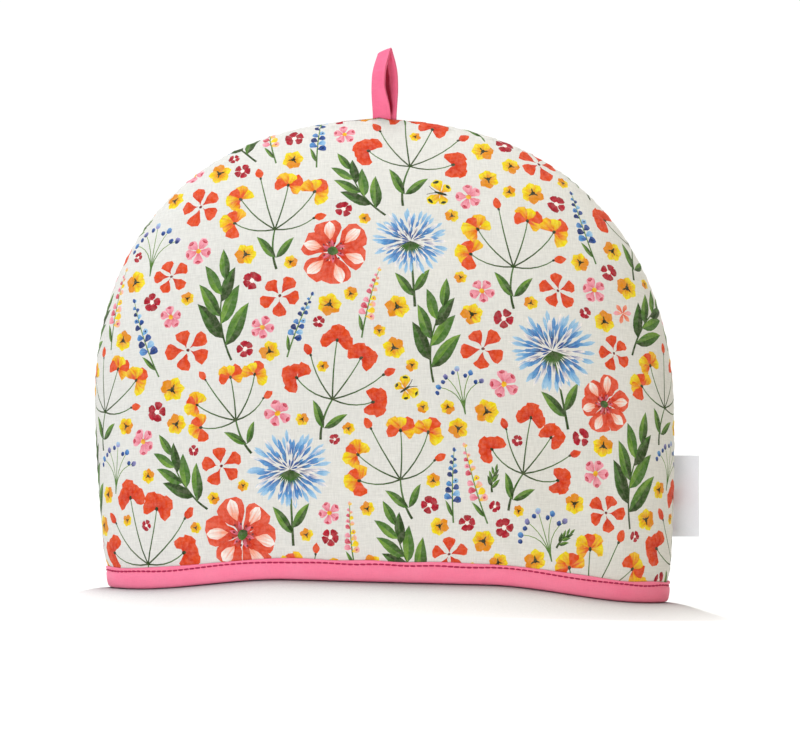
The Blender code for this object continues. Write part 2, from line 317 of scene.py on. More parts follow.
# %% Inks
INK = {
    "scarlet": "#CC2F0C", "orange": "#DE4A16", "coral": "#E2573A", "shell": "#F0997C",
    "crimson": "#930A20", "ruby": "#B8142F", "rose": "#DE6E84", "blush": "#F0A7B6",
    "milk": "#F3ECE6", "lemon": "#EFDD0C", "butter": "#EFC413", "amber": "#DF8A0A",
    "soot": "#1B1C16", "moss": "#2A4318", "leaf": "#44702A", "grass": "#719A36",
    "navy": "#14306C", "blue": "#2857A2", "sky": "#5C9BD2", "mist": "#A2CAE6", "lilac": "#9390C8",
}


def inks(root, tip):
    return (INK[root], INK[tip])


STALK, THIN_STALK, DARK_EYE = inks("moss", "leaf"), inks("leaf", "grass"), inks("soot", "moss")
LEAF_SIDES = (THIN_STALK, STALK)


# %% [markdown]
# The flowers. Each kind is one function of a size and a turn. It returns its strokes round the
# origin, the lowest first, so that a centre lies over its petals. They are plain garden flowers,
# made of the same few petals and dabs at different sizes, which is how a painter with three brushes
# works.


# %% Small single flowers
ORIGIN = np.zeros(2)


def spread(strokes_of, petals, turn, unevenness=0.12):
    """The strokes of each petal round a flower, at nearly even angles."""
    found = []
    for number in range(petals):
        angle = turn + 2 * math.pi * number / petals + paint.normal(0, unevenness)
        found.extend(strokes_of(angle, number))
    return found


def campion(size, turn):
    """Small red flower: five notched petals round a pale eye."""
    def one(angle, number):
        ink_pair = inks("crimson", "ruby") if number % 2 else inks("ruby", "crimson")
        return [petal(ORIGIN, angle, size / 2, size * 0.40, ink_pair, 1.7, 0.1, 5)]

    return spread(one, 5, turn) + [
        dab(ORIGIN, size * 0.24, size * 0.22, turn, inks("milk", "milk"), 7)
    ]


def buttercup(size, turn):
    """Small yellow flower: six overlapping round petals and a dark eye."""
    def one(angle, number):
        tip = "amber" if number in (1, 2) else "lemon"
        return [petal(ORIGIN, angle, size / 2, size * 0.42, inks("amber", tip), 1.3, 0, 5)]

    eye = [dab(ORIGIN, size * 0.22, size * 0.17, turn, DARK_EYE, 6)]
    for number in range(3):
        angle = turn + 2.1 * number
        eye.append(petal(ORIGIN, angle, size * 0.24, size * 0.07, DARK_EYE, 1.0, 0, 3))
    return spread(one, 6, turn) + eye


def mallow(size, turn):
    """Pink flower: five separate petals with darker tips and a golden eye."""
    def one(angle, number):
        reach = size / 2 * (1 + 0.1 * math.sin(3 * number))
        tip = 0.80 * reach * pointing(angle)
        return [
            petal(ORIGIN, angle, reach, size * 0.36, inks("rose", "blush"), 1.8, 0.06),
            dab(tip, size * 0.13, size * 0.2, angle, inks("ruby", "rose"), 6),
        ]

    return spread(one, 5, turn) + [
        dab(ORIGIN, size * 0.2, size * 0.2, turn, inks("butter", "amber"), 7)
    ]


def geranium(size, turn):
    """Orange flower: five wide wedge-shaped petals, parted down to a dark centre."""
    def one(angle, number):
        reach = size / 2 * (1 + 0.08 * math.cos(2.3 * number))
        start = 0.06 * size * pointing(angle)
        return [petal(start, angle, reach, size * 0.38, inks("scarlet", "orange"), 2.1, 0.05)]

    return spread(one, 5, turn, 0.07) + [
        dab(ORIGIN, size * 0.1, size * 0.08, turn, inks("crimson", "soot"), 6)
    ]


def peach_star(size, turn):
    """Pale star: six slim petals."""
    def one(angle, number):
        ink_pair = inks("coral", "shell") if number % 3 else inks("shell", "blush")
        return [petal(ORIGIN, angle, size / 2, size * 0.22, ink_pair, 1.6, 0, 5)]

    return spread(one, 6, turn)


# %% The large open flower
def anemone(size, turn):
    """Large coral flower: six broad petals, each with a pale wash down it and a dark root."""
    reach = size / 2
    wash, red_vein, pink_vein = (
        inks("shell", "milk"), inks("crimson", "scarlet"), inks("crimson", "rose")
    )

    def one(angle, number):
        long = reach * (1 + 0.09 * math.sin(1.7 * number))
        outwards = pointing(angle)
        wash_angle = angle + (0.16 if number % 2 else -0.16)
        wash_from = 0.34 * long * outwards
        return [
            petal(ORIGIN, angle, long, size * 0.37, inks("scarlet", "coral"), 1.8, 0.07, 8),
            petal(wash_from, wash_angle, 0.56 * long, size * 0.15, wash, 1.3, 0, 6),
            petal(ORIGIN, angle + 0.1, 0.42 * long, size * 0.07, red_vein, 1.0, 0, 4),
            petal(ORIGIN, angle - 0.15, 0.34 * long, size * 0.05, pink_vein, 1.0, 0, 4),
        ]

    found = spread(one, 6, turn, 0.06)
    found.append(dab(ORIGIN, size * 0.15, size * 0.13, turn, STALK))
    for number in range(11):
        angle = turn + 2 * math.pi * number / 11
        away = (0.115 + 0.02 * (number % 3)) * size
        spot = away * pointing(angle)
        found.append(dab(spot, size * 0.035, size * 0.03, angle, inks("soot", "crimson"), 5))
    return found


# %% A leafy sprig
def leaf_sprig(size, turn):
    """A bent twig with willow-like leaves on alternate sides and one at its end."""
    up = turn + math.pi / 2
    end = size * 0.72 * pointing(up)
    lean_to = size * 0.4 * pointing(up + 0.35)
    line = curve_through(ORIGIN, lean_to, end, 12)
    found = [stem(line, 1.3, 0.7, STALK)]
    pairs = (
        LEAF_SIDES,
        (STALK, inks("moss", "moss")),
        (inks("grass", "leaf"), inks("leaf", "leaf")),
    )
    for number in range(7):
        last = number == 6
        place = line[-1] if last else line[2 + int(number * 1.5)]
        side = 0 if last else (1 if number % 2 else -1)
        angle = up + side * (0.72 - 0.03 * number)
        long = size * (0.42 - 0.022 * number)
        found += leaf(place, angle, long, long * 0.33, pairs[number % 3], -0.14 * side)
    return found


# %% Sprays with loose flowers
def flower_spray(size, turn, petal_inks, buds):
    """A forked stalk that carries loose flowers of four petals, with buds between them."""
    up = turn + math.pi / 2
    fork = size * 0.42 * pointing(up)
    bow = size * 0.2 * pointing(up + 0.3)
    found = [stem(curve_through(ORIGIN, bow, fork, 8), 1.5, 0.9, STALK)]
    long = size * 0.30
    low = size * 0.12 * pointing(up)
    found += leaf(low, up + 0.8, long, long * 0.3, LEAF_SIDES, -0.15)
    found += leaf(low, up - 0.9, long * 0.9, long * 0.27, LEAF_SIDES, 0.15)
    for number, (spread_by, reach) in enumerate(
        ((-1.35, 0.40), (-0.82, 0.56), (-0.30, 0.50), (0.22, 0.60), (0.74, 0.50), (1.30, 0.42))
    ):
        angle = up + spread_by
        head = fork + size * reach * pointing(angle)
        middle = fork + size * reach * 0.55 * pointing(angle + 0.3 * spread_by)
        found.append(stem(curve_through(fork, middle, head, 6), 0.95, 0.6, STALK))
        if number in buds:
            found.append(petal(head, angle, size * 0.13, size * 0.08, petal_inks[0], 0.9))
            found.append(dab(head, size * 0.035, size * 0.03, angle, DARK_EYE, 5))
            continue
        width = size * (0.135 + 0.012 * (number % 2))
        for petal_number, away in enumerate((-1.75, -0.85, 0.0, 0.8, 1.65)):
            ink_pair = petal_inks[(number + petal_number) % len(petal_inks)]
            long = size * (0.155 + 0.025 * ((petal_number + number) % 2))
            found.append(petal(head, angle + away, long, width, ink_pair, 1.7, 0.08, 5))
        found.append(dab(head, size * 0.045, size * 0.035, angle, DARK_EYE, 6))
    return found


def orange_spray(size, turn):
    return flower_spray(size, turn, (inks("scarlet", "orange"),), (1, 4))


def golden_spray(size, turn):
    pairs = (inks("orange", "orange"), inks("amber", "lemon"), inks("orange", "butter"))
    return flower_spray(size, turn, pairs, (0, 3))


# %% The globe head
def globe_head(size, turn):
    """A round blue head of many slim florets on a stout stalk with a pair of leaves."""
    up = turn + math.pi / 2
    outwards = pointing(up)
    head = size * 0.95 * outwards
    found = [stem(curve_through(ORIGIN, size * 0.3 * outwards, head, 8), 1.6, 1.0, STALK)]
    found += leaf(0.15 * size * outwards, up + 0.7, size * 0.42, size * 0.13, LEAF_SIDES, -0.1)
    found += leaf(0.22 * size * outwards, up - 0.75, size * 0.38, size * 0.12, LEAF_SIDES, 0.1)
    rings = ((44, 0.30, 0.22, "sky", "mist"), (36, 0.20, 0.20, "blue", "sky"),
             (26, 0.11, 0.17, "navy", "sky"), (16, 0.03, 0.12, "navy", "blue"))
    for count, start, long, root_ink, tip_ink in rings:
        for number in range(count):
            angle = 2 * math.pi * number / count + paint.normal(0, 0.08)
            along = np.array((math.cos(angle), math.sin(angle) * 0.86))
            place = head + size * (start + paint.normal(0, 0.02)) * along
            tip = "milk" if number % 5 == 0 else tip_ink
            floret = size * long * paint.uniform(0.8, 1.15)
            found.append(petal(place, angle, floret, floret * 0.22, inks(root_ink, tip), 1.6, 0, 4))
    for number in range(13):
        angle = up + math.pi + (number - 6) * 0.17
        found.append(petal(head, angle, size * 0.2, size * 0.025, STALK, 1.0, 0, 3))
    return found


# %% Spikes of bells
def bell_spike(size, turn, floret_inks):
    """A tall spike: bells in pairs that get smaller towards the top."""
    up = turn + math.pi / 2
    end = size * pointing(up)
    bow = size * 0.5 * pointing(up + 0.08)
    line = curve_through(ORIGIN, bow, end, 24)
    found = [stem(line, 1.0, 0.4, THIN_STALK)]
    long = size * 0.26
    found += leaf(line[2], up + 0.55, long, long * 0.22, LEAF_SIDES, -0.1)
    for number in range(15):
        share = number / 14
        place = line[7 + int(16 * share)]
        side = 1 if number % 2 else -1
        wide = size * (0.14 - 0.085 * share)
        angle = up + side * (1.25 - 0.7 * share)
        ink_pair = floret_inks[number % len(floret_inks)]
        found.append(petal(place, angle, wide, wide * 0.72, ink_pair, 1.4, 0.1, 5))
        if number % 3 == 0:
            spot = place + 0.55 * wide * pointing(angle)
            found.append(dab(spot, wide * 0.3, wide * 0.24, angle, floret_inks[-1], 6))
    found.append(petal(end, up, size * 0.07, size * 0.045, floret_inks[0], 1.0, 0, 4))
    return found


def blue_spike(size, turn):
    pairs = (inks("navy", "blue"), inks("blue", "sky"), inks("sky", "mist"), inks("navy", "navy"))
    return bell_spike(size, turn, pairs)


def pink_spire(size, turn):
    pairs = (inks("butter", "blush"), inks("rose", "blush"), inks("lemon", "butter"),
             inks("ruby", "rose"))
    return bell_spike(size, turn, pairs)


# %% A twig of berries, and a butterfly
def berry_twig(size, turn):
    """A thin twig with round berries in two blues."""
    up = turn + math.pi / 2
    found = []
    for number, spread_by in enumerate((-0.62, -0.30, 0.0, 0.30, 0.6)):
        angle = up + spread_by
        end = size * (0.95 - 0.3 * abs(spread_by)) * pointing(angle)
        middle = size * 0.5 * pointing(up)
        found.append(stem(curve_through(ORIGIN, middle, end, 7), 0.7, 0.4, THIN_STALK))
        wide = size * 0.12
        ink_pair = (inks("navy", "lilac"), inks("blue", "sky"), inks("lilac", "mist"))[number % 3]
        found.append(dab(end, wide, wide * 0.9, angle, ink_pair, 8))
        beside = end + wide * pointing(angle + 2.2)
        found.append(dab(beside, wide * 0.8, wide * 0.72, angle, inks("navy", "blue"), 8))
    return found


def butterfly(size, turn):
    """A small yellow butterfly seen from above, with dark wing tips."""
    found = []
    for side in (1, -1):
        for back, long, wide in ((0.62, 0.50, 0.36), (-0.50, 0.38, 0.30)):
            angle = turn + math.pi / 2 * side - side * back
            wing = petal(ORIGIN, angle, size * long, size * wide, inks("amber", "lemon"), 1.9)
            tip = 0.80 * size * long * pointing(angle)
            found += [wing, dab(tip, size * 0.09, size * wide * 0.55, angle, DARK_EYE, 6)]
        feeler = turn + 0.35 * side
        far = size * 0.42 * pointing(feeler)
        near = size * 0.2 * pointing(turn)
        found.append(stem(curve_through(ORIGIN, near, far, 5), 0.5, 0.35, inks("soot", "soot")))
    return found + [dab(ORIGIN, size * 0.42, size * 0.09, turn, DARK_EYE, 8)]


# %% [markdown]
# The repeat. A print has to be even: no bare patches, no two flowers of a kind side by side, and
# nothing touching. So each motif, largest first, is offered every place in the repeat at once.
# `room` holds the distance from each place to the nearest paint, and shifting it by every point of
# a motif gives the gap that the motif would leave there. Of the places where the gap is wide
# enough, it takes one far from its own kind and snug against its neighbours. The shifts wrap round
# the repeat's edges, so the cloth can be laid edge to edge with itself as real yardage can.

# %% Laying out one repeat, in millimetres and degrees
REPEAT_WIDTH, REPEAT_HEIGHT = 344.0, 312.0
CELL, CLEARANCE = 2.0, 2.6
FURTHEST_ROOM, FURTHEST_CROWD = 60.0, 120.0
MOTIFS = (
    # kind, family, how many, largest size, smallest size, most turn from upright
    (anemone, "coral", 4, 46, 34, 180),
    (globe_head, "blue", 4, 48, 42, 14),
    (orange_spray, "orange", 5, 66, 54, 25),
    (golden_spray, "gold", 7, 62, 50, 35),
    (leaf_sprig, "green", 9, 68, 50, 45),
    (blue_spike, "blue", 6, 50, 38, 25),
    (pink_spire, "pink", 6, 50, 38, 20),
    (berry_twig, "blue", 4, 34, 28, 25),
    (butterfly, "gold", 4, 21, 17, 180),
    (geranium, "orange", 13, 24, 19, 180),
    (mallow, "pink", 18, 18, 14, 180),
    (buttercup, "gold", 44, 15, 11, 180),
    (campion, "red", 34, 13, 11, 180),
    (peach_star, "pink", 24, 14, 11, 180),
    (leaf_sprig, "green", 14, 24, 16, 90),
    (buttercup, "gold", 40, 9, 7, 180),
    (campion, "red", 44, 9, 7, 180),
)


def distance_from_corner(shape):
    """The distance of each cell from cell (0, 0), the short way round, in millimetres."""
    up, across = (np.minimum(np.arange(n), n - np.arange(n)) * CELL for n in shape)
    return np.hypot(up[:, None], across[None, :])


def cells_under(strokes):
    """The cells, as (up, across) steps from a motif's origin, that its strokes cover."""
    points = [np.vstack((stroke.outline, stroke.outline.mean(axis=0))) for stroke in strokes]
    return np.unique(np.round(np.vstack(points)[:, ::-1] / CELL).astype(int), axis=0)


def draw_repeat():
    """All the strokes of one repeat, in the order in which they are painted."""
    shape = (round(REPEAT_HEIGHT / CELL), round(REPEAT_WIDTH / CELL))
    cone = distance_from_corner(shape)
    room = np.full(shape, FURTHEST_ROOM)
    crowd = {family: np.full(shape, FURTHEST_CROWD) for _, family, *_ in MOTIFS}
    strokes, counts = [], {}
    for kind, family, how_many, largest, smallest, most_turn in MOTIFS:
        for size in np.linspace(largest, smallest, how_many):
            turn = math.radians(paint.uniform(-most_turn, most_turn))
            motif = kind(size, turn)
            cells = cells_under(motif)
            gap = np.min([np.roll(room, (-up, -across), (0, 1)) for up, across in cells], axis=0)
            if gap.max() < CLEARANCE:
                continue
            liking = np.minimum(crowd[family], 110) - 2.5 * np.minimum(gap, 14)
            liking = liking + paint.uniform(0, 8, shape)
            liking[gap < CLEARANCE] = -1e9
            row, column = np.unravel_index(np.argmax(liking), shape)
            for up, across in cells:
                room = np.minimum(room, np.roll(cone, (row + up, column + across), (0, 1)))
            crowd[family] = np.minimum(crowd[family], np.roll(cone, (row, column), (0, 1)))
            at = np.array((column, row)) * CELL
            strokes += [s._replace(outline=s.outline + at, origin=s.origin + at) for s in motif]
            counts[kind.__name__] = counts.get(kind.__name__, 0) + 1
    print("motifs placed:", counts)
    return strokes


REPEAT = draw_repeat()
print(f"one repeat holds {len(REPEAT)} strokes")


# %% [markdown]
# ## From the dome to the flat cloth and back
# A tailor's pattern maps the body to flat cloth. Here `s` runs across the panel and `t` up it, both
# measured along the cloth. For each level, a table holds how far round the section the angle gets
# you. Reading the table backwards turns any point of the flat cloth into a point of the dome.

# %% The flat pattern
CLOTH_FOOT = BINDING_CLOTH + GAP
LEVELS, SHARES, LEVEL_POWER = 260, 181, 1.8

level_share = np.linspace(0, 1, LEVELS)
level_height = CLOTH_FOOT + (DOME_HEIGHT - CLOTH_FOOT) * (1 - (1 - level_share) ** LEVEL_POWER)
section_angle = np.linspace(-math.pi / 2, math.pi / 2, 361)
power = 2 / SECTION_POWER
section = np.stack(
    (
        half_width(level_height, 0)[:, None] * signed_power(np.sin(section_angle), power),
        half_depth(level_height, 0)[:, None] * signed_power(np.cos(section_angle), power),
    ),
    axis=-1,
)
around = np.array([running_length(line) for line in section])
level_reach = around[:, -1] / 2
profile = np.column_stack((half_depth(level_height, 0), level_height))
level_t = running_length(profile)
share_grid = np.linspace(0, 1, SHARES)
angle_table = np.array([
    np.interp(share_grid, row / max(row[-1], 1e-9), section_angle) for row in around[:-1]
])
angle_table = np.vstack((angle_table, angle_table[-1]))
seam_line = np.column_stack((level_reach, level_t))
seam_length = running_length(seam_line)
seam_slope = np.gradient(level_reach, level_t)
print(f"a panel lies flat as {2 * level_reach.max():.0f} x {level_t[-1]:.0f} mm")


def read_between(table, row, column):
    """The values of a table at places between its rows and columns."""
    low = np.minimum(row.astype(int), table.shape[0] - 2)
    left = np.minimum(column.astype(int), table.shape[1] - 2)
    up, over = row - low, column - left
    return (
        (1 - up) * (1 - over) * table[low, left]
        + (1 - up) * over * table[low, left + 1]
        + up * (1 - over) * table[low + 1, left]
        + up * over * table[low + 1, left + 1]
    )


def angle_and_height(s, t):
    """The dome's angle and height at a point of the flat cloth, by reading the table backwards."""
    reach = np.interp(t, level_t, level_reach)
    share = np.clip(0.5 + s / (2 * np.maximum(reach, 1e-6)), 0, 1) * (SHARES - 1)
    level = np.clip(np.interp(t, level_t, np.arange(LEVELS)), 0, LEVELS - 1)
    return read_between(angle_table, level, share), np.interp(t, level_t, level_height)


def from_seam(s, t):
    """How far a point of the cloth is from the seam, and how far along the seam."""
    away = np.interp(t, level_t, level_reach) - np.abs(s)
    away = away / np.sqrt(1 + np.interp(t, level_t, seam_slope) ** 2)
    top = np.hypot(s, level_t[-1] - t)
    away = np.minimum(np.maximum(away, 0), top)
    return away, np.sign(s) * (seam_length[-1] - np.interp(t, level_t, seam_length))


# %% [markdown]
# A round shape can't lie flat without some stretch, and the tables above put all of it at the seam,
# up to three times. Cloth spreads it out instead, and so does a pattern maker who presses it flat.
# Here a coarse net of the dome is pressed flat in rounds. In each round every triangle of the net
# is turned to fit its knots best while it keeps its own shape, and then the knots move to where
# their triangles agree. The print lies on this eased pattern, so its flowers keep their shape right
# up to the seam.

# %% A coarse net over the panel
EASED_COLUMNS, EASED_ROWS, EASED_ROUNDS = 45, 42, 80
EASED_TOP_GAP, EASED_ROW_POWER = 0.4, 1.5
STILL_HALF_WIDTH, STILL_FROM, STILL_TO = 80, 60, 220

eased_share = np.sin(np.linspace(-math.pi / 2, math.pi / 2, EASED_COLUMNS))
eased_t = (level_t[-1] - EASED_TOP_GAP) * (1 - np.linspace(1, 0, EASED_ROWS) ** EASED_ROW_POWER)
knot_t = np.repeat(eased_t, EASED_COLUMNS)
knot_s = np.tile(eased_share, EASED_ROWS) * np.interp(knot_t, level_t, level_reach)
cell = np.arange(EASED_COLUMNS * (EASED_ROWS - 1)).reshape(-1, EASED_COLUMNS)[:, :-1].ravel()
above = cell + EASED_COLUMNS
net_triangles = np.vstack((
    np.column_stack((cell, cell + 1, above + 1)), np.column_stack((cell, above + 1, above))
))
print(f"the net has {len(knot_s)} knots and {len(net_triangles)} triangles")


# %% The net's triangles, one by one
def cross_product(first, second):
    """How far flat arrows turn from one another: more than 0 where the second lies to the left."""
    return first[:, 0] * second[:, 1] - first[:, 1] * second[:, 0]


def flat_shapes(points):
    """Each triangle of the net by itself, laid flat with its first edge along the first axis."""
    first, second, third = (points[net_triangles[:, corner]] for corner in range(3))
    length = np.linalg.norm(second - first, axis=1)
    along = ((third - first) * (second - first)).sum(axis=1) / length
    beside = np.linalg.norm(np.cross(second - first, third - first), axis=1) / length
    zero = np.zeros(len(length))
    corners = ((zero, zero), (length, zero), (along, beside))
    return np.stack([np.column_stack(corner) for corner in corners], axis=1)


def net_edges():
    """The two knots of every triangle's three edges, each edge's arrow, and its weight."""
    shapes = flat_shapes(dome(*angle_and_height(knot_s, knot_t), 0.0))
    found = []
    for first, second, facing in ((0, 1, 2), (1, 2, 0), (2, 0, 1)):
        one, other = shapes[:, first] - shapes[:, facing], shapes[:, second] - shapes[:, facing]
        weight = (one * other).sum(axis=1) / np.maximum(np.abs(cross_product(one, other)), 1e-9)
        arrow = shapes[:, first] - shapes[:, second]
        found.append((net_triangles[:, first], net_triangles[:, second], arrow, weight))
    return found


def turned_each(arrows, cos, sin):
    """Flat arrows, each turned by its own angle."""
    x, y = arrows.T
    return np.column_stack((x * cos - y * sin, x * sin + y * cos))


# %% Pressing the net flat
def knots_from_pulls(edges):
    """The table that turns pulls on the knots into places. One knot is held, or all could drift."""
    pulls = np.zeros((len(knot_s), len(knot_s)))
    for first, second, _, weight in edges:
        for one, other, sign in ((first, first, 1), (second, second, 1),
                                 (first, second, -1), (second, first, -1)):
            np.add.at(pulls, (one, other), sign * weight)
    pulls[0, 0] += 1.0
    return np.linalg.inv(pulls)


def settled_once(knots, edges, from_pulls):
    """One round: the triangles turn to fit the knots, then the knots move to fit the triangles."""
    straight, across = np.zeros(len(net_triangles)), np.zeros(len(net_triangles))
    for first, second, arrow, weight in edges:
        now = knots[first] - knots[second]
        straight += weight * (arrow * now).sum(axis=1)
        across += weight * cross_product(arrow, now)
    size = np.maximum(np.hypot(straight, across), 1e-12)
    pull = np.zeros_like(knots)
    for first, second, arrow, weight in edges:
        wished = weight[:, None] * turned_each(arrow, straight / size, across / size)
        np.add.at(pull, first, wished)
        np.add.at(pull, second, -wished)
    return from_pulls @ pull


def set_straight(knots, still):
    """The knots moved and turned as one, until their middle part lies as it did at the start."""
    s, t = still.T
    middle = (np.abs(s) < STILL_HALF_WIDTH) & (t > STILL_FROM) & (t < STILL_TO)
    centre, still_centre = knots[middle].mean(axis=0), still[middle].mean(axis=0)
    moved, wished = knots[middle] - centre, still[middle] - still_centre
    angle = math.atan2(cross_product(moved, wished).sum(), (moved * wished).sum())
    return turned_each(knots - centre, math.cos(angle), math.sin(angle)) + still_centre


def pressed_flat():
    """The eased place of every knot of the net, as a table of rows and columns."""
    edges = net_edges()
    from_pulls = knots_from_pulls(edges)
    start = np.column_stack((knot_s, knot_t))
    knots = start
    for _ in range(EASED_ROUNDS):
        knots = settled_once(knots, edges, from_pulls)
    return set_straight(knots, start).reshape(EASED_ROWS, EASED_COLUMNS, 2)


EASED = pressed_flat()
print(f"eased, the panel is {np.ptp(EASED[..., 0]):.0f} x {np.ptp(EASED[..., 1]):.0f} mm")


# %% Between the first pattern and the eased one
BACK_STEP, BACK_ROUNDS, LONGEST_MOVE, LEAST_AREA = 0.05, 12, 3.0, 0.05


def eased_place(flat):
    """Where points of the first pattern lie on the eased one."""
    s, t = flat.T
    low = np.minimum(t, eased_t[-1])
    share = np.clip(s / np.maximum(np.interp(low, level_t, level_reach), 1e-6), -1, 1)
    column = np.interp(share, eased_share, np.arange(EASED_COLUMNS))
    row = np.interp(low, eased_t, np.arange(EASED_ROWS))
    across, up = (read_between(EASED[..., axis], row, column) for axis in (0, 1))
    return np.column_stack((across, up + t - low))


def within_panel(flat):
    """Points of the first pattern, kept from straying over its edge."""
    t = np.clip(flat[:, 1], 0, level_t[-1])
    reach = np.interp(t, level_t, level_reach)
    return np.column_stack((np.clip(flat[:, 0], -reach, reach), t))


def eased_slope(flat, step):
    """How far the eased place moves for each millimetre of a small step over the first pattern."""
    ahead, behind = (eased_place(within_panel(flat + sign * np.array(step))) for sign in (1, -1))
    return (ahead - behind) / (2 * sum(step))


def first_place(eased, known):
    """The way back to the first pattern: from the nearest known point, closer at each step."""
    knots = KDTree(len(known))
    for number, place in enumerate(eased_place(known)):
        knots.insert((*place, 0), number)
    knots.balance()
    found = known[[knots.find((*place, 0))[1] for place in eased]]
    for _ in range(BACK_ROUNDS):
        miss = eased - eased_place(found)
        by_s, by_t = (eased_slope(found, step) for step in ((BACK_STEP, 0), (0, BACK_STEP)))
        area = cross_product(by_s, by_t)
        area = np.where(np.abs(area) < LEAST_AREA, LEAST_AREA, area)
        move = np.column_stack((cross_product(miss, by_t), cross_product(by_s, miss)))
        move = move / area[:, None]
        size = np.linalg.norm(move, axis=1)[:, None]
        found = within_panel(found + move * np.minimum(1, LONGEST_MOVE / np.maximum(size, 1e-9)))
    miss = np.linalg.norm(eased_place(found) - eased, axis=1)
    print(f"the way back misses by {miss.max():.2f} mm at most and {miss.mean():.5f} mm on average")
    return found


# %% [markdown]
# The surface of stuffed cloth. Along a seam the cloth dips in to the stitches, and because the
# thread is a little tight, it puckers. Long soft creases show where the padding was once folded.

# %% Fine relief, in millimetres
SEAM_DIP = 1.6
SEAM_DIP_WIDTH = 2.3
PUCKER, PUCKER_LENGTH, PUCKER_SLOW_LENGTH = 0.34, 7.6, 12.7
HEM_WAVE, HEM_WAVE_HEIGHT = 0.25, 17
CREASE_BEND = 0.004
CREASES = {
    # s, t, half length, half width, degrees to the right, how far out
    "front_panel": (
        (-120, 40, 34, 5, 20, -0.7),
        (-108, 52, 30, 4, 12, 0.4),
        (128, 70, 40, 5, -12, -0.8),
        (140, 58, 34, 4, -8, 0.45),
        (66, 36, 26, 5, -36, -0.5),
        (-40, 30, 22, 5, 30, -0.45),
        (80, 232, 34, 5, -62, -0.5),
        (-86, 226, 30, 5, 58, -0.45),
        (-150, 120, 36, 5, 6, -0.5),
    ),
    "back_panel": (
        (116, 46, 34, 5, -18, -0.7),
        (-124, 82, 44, 5, 12, -0.7),
        (30, 34, 26, 5, 34, -0.5),
        (-70, 228, 34, 5, 62, -0.5),
        (92, 214, 32, 5, -56, -0.45),
    ),
}


def relief(panel, s, t, height):
    """How far the cloth stands out of the smooth dome."""
    away, along = from_seam(s, t)
    dip = -SEAM_DIP * np.exp(-((away / SEAM_DIP_WIDTH) ** 2))
    wave = np.sin(2 * math.pi * along / PUCKER_LENGTH + 1.6 * np.sin(along / 23))
    wave = wave + 0.5 * np.sin(2 * math.pi * along / PUCKER_SLOW_LENGTH + 1)
    pucker = PUCKER * wave * np.exp(-away / 6) * (1 - np.exp(-away / 1.3))
    folds = 0.0
    for row in CREASES[panel]:
        folds = folds + lump(row, s, t, CREASE_BEND)
    hem_wave = HEM_WAVE * np.sin(s / 5.1 + 1.2 * np.sin(s / 31))
    hem_wave = hem_wave * np.exp(-((height - HEM_WAVE_HEIGHT) / 7) ** 2)
    free = smooth_step(BINDING_HEIGHT, BINDING_HEIGHT + 6, height)
    return free * (dip + pucker + folds + hem_wave)


# %% [markdown]
# Cutting and sewing a panel. The strokes that fall on the panel, its outline and a net of points
# about 3 mm apart go into one constrained triangulation, which keeps every outline as edges. It's
# done on the eased pattern, and its points are then carried back to the first one, which the dome's
# tables can read. The triangulation also says which shapes lie over each triangle, so the last one
# painted gives the ink. The inner cloth has no print and needs only a coarse net. A rim of narrow
# faces joins the two along the seam and hem.

# %% Cutting the cloth
NET = 3.2
INNER_NET = 6.0
SEAM_ROWS = (1.3, 2.7, 4.4, 6.4)
PRINT_OFFSET = {"front_panel": (60.0, 40.0), "back_panel": (-92.0, 170.0)}


def even_points(line, spacing):
    """Points at even spacing along a line, both of its ends kept."""
    lengths = running_length(line)
    places = np.linspace(0, lengths[-1], max(2, round(lengths[-1] / spacing) + 1))
    return np.column_stack([np.interp(places, lengths, line[:, axis]) for axis in (0, 1)])


def panel_outline():
    """The cut edge of a panel, anticlockwise from the left end of its hem."""
    right = even_points(seam_line, 2.6)
    right[:, 0] = np.interp(right[:, 1], level_t, level_reach)
    right[-1] = (0, level_t[-1])
    hem = even_points(np.array(((-right[0, 0], 0), (right[0, 0], 0))), 3.0)
    left = right[-2:0:-1] * (-1, 1)
    return np.vstack((hem[:-1], right, left))


def net_points(outline, net, rows):
    """Points over the inside of a panel: rows that follow the seam, then a staggered net."""
    found = []
    top = level_t[-1]
    edge = outline[outline[:, 1] > 1e-6]
    slope = np.interp(edge[:, 1], level_t, seam_slope)
    side = np.sign(edge[:, 0])
    inwards = np.column_stack((-side, -np.maximum(-slope, 0)))
    inwards[edge[:, 1] > top - 1e-6] = (0, -1)
    inwards = unit(inwards)
    for away in rows:
        row = edge + inwards * away
        found.append(row[row[:, 1] > 1.0])
    across = np.arange(-math.ceil(level_reach.max() / net) * net, level_reach.max() + net, net)
    for number, t in enumerate(np.arange(net * 0.8, top, net * 0.87)):
        row = np.column_stack((across + (number % 2) * net / 2, np.full(len(across), t)))
        away, _ = from_seam(row[:, 0], row[:, 1])
        inside = np.abs(row[:, 0]) < np.interp(t, level_t, level_reach)
        found.append(row[inside & (away > (rows[-1] if rows else 0) + net * 0.6)])
    return np.vstack(found)


def strokes_on(panel, outline):
    """The strokes of the repeat, copied to every place that may touch the panel's eased outline."""
    offset = np.array(PRINT_OFFSET[panel])
    low, high = outline.min(axis=0) - 2, outline.max(axis=0) + 2
    found = []
    for stroke in REPEAT:
        for across in range(-2, 3):
            for up in range(-2, 3):
                move = np.array((across * REPEAT_WIDTH, up * REPEAT_HEIGHT)) - offset
                shape = stroke.outline + move
                if (shape.max(axis=0) < low).any() or (shape.min(axis=0) > high).any():
                    continue
                found.append(stroke._replace(outline=shape, origin=stroke.origin + move))
    return found


# %% Triangles that keep every stroke's outline
def anticlockwise(shape):
    """The shape's corners in the order that the triangulation takes as its inside."""
    x, y = shape.T
    area = (x * np.roll(y, -1) - y * np.roll(x, -1)).sum()
    return shape if area > 0 else shape[::-1]


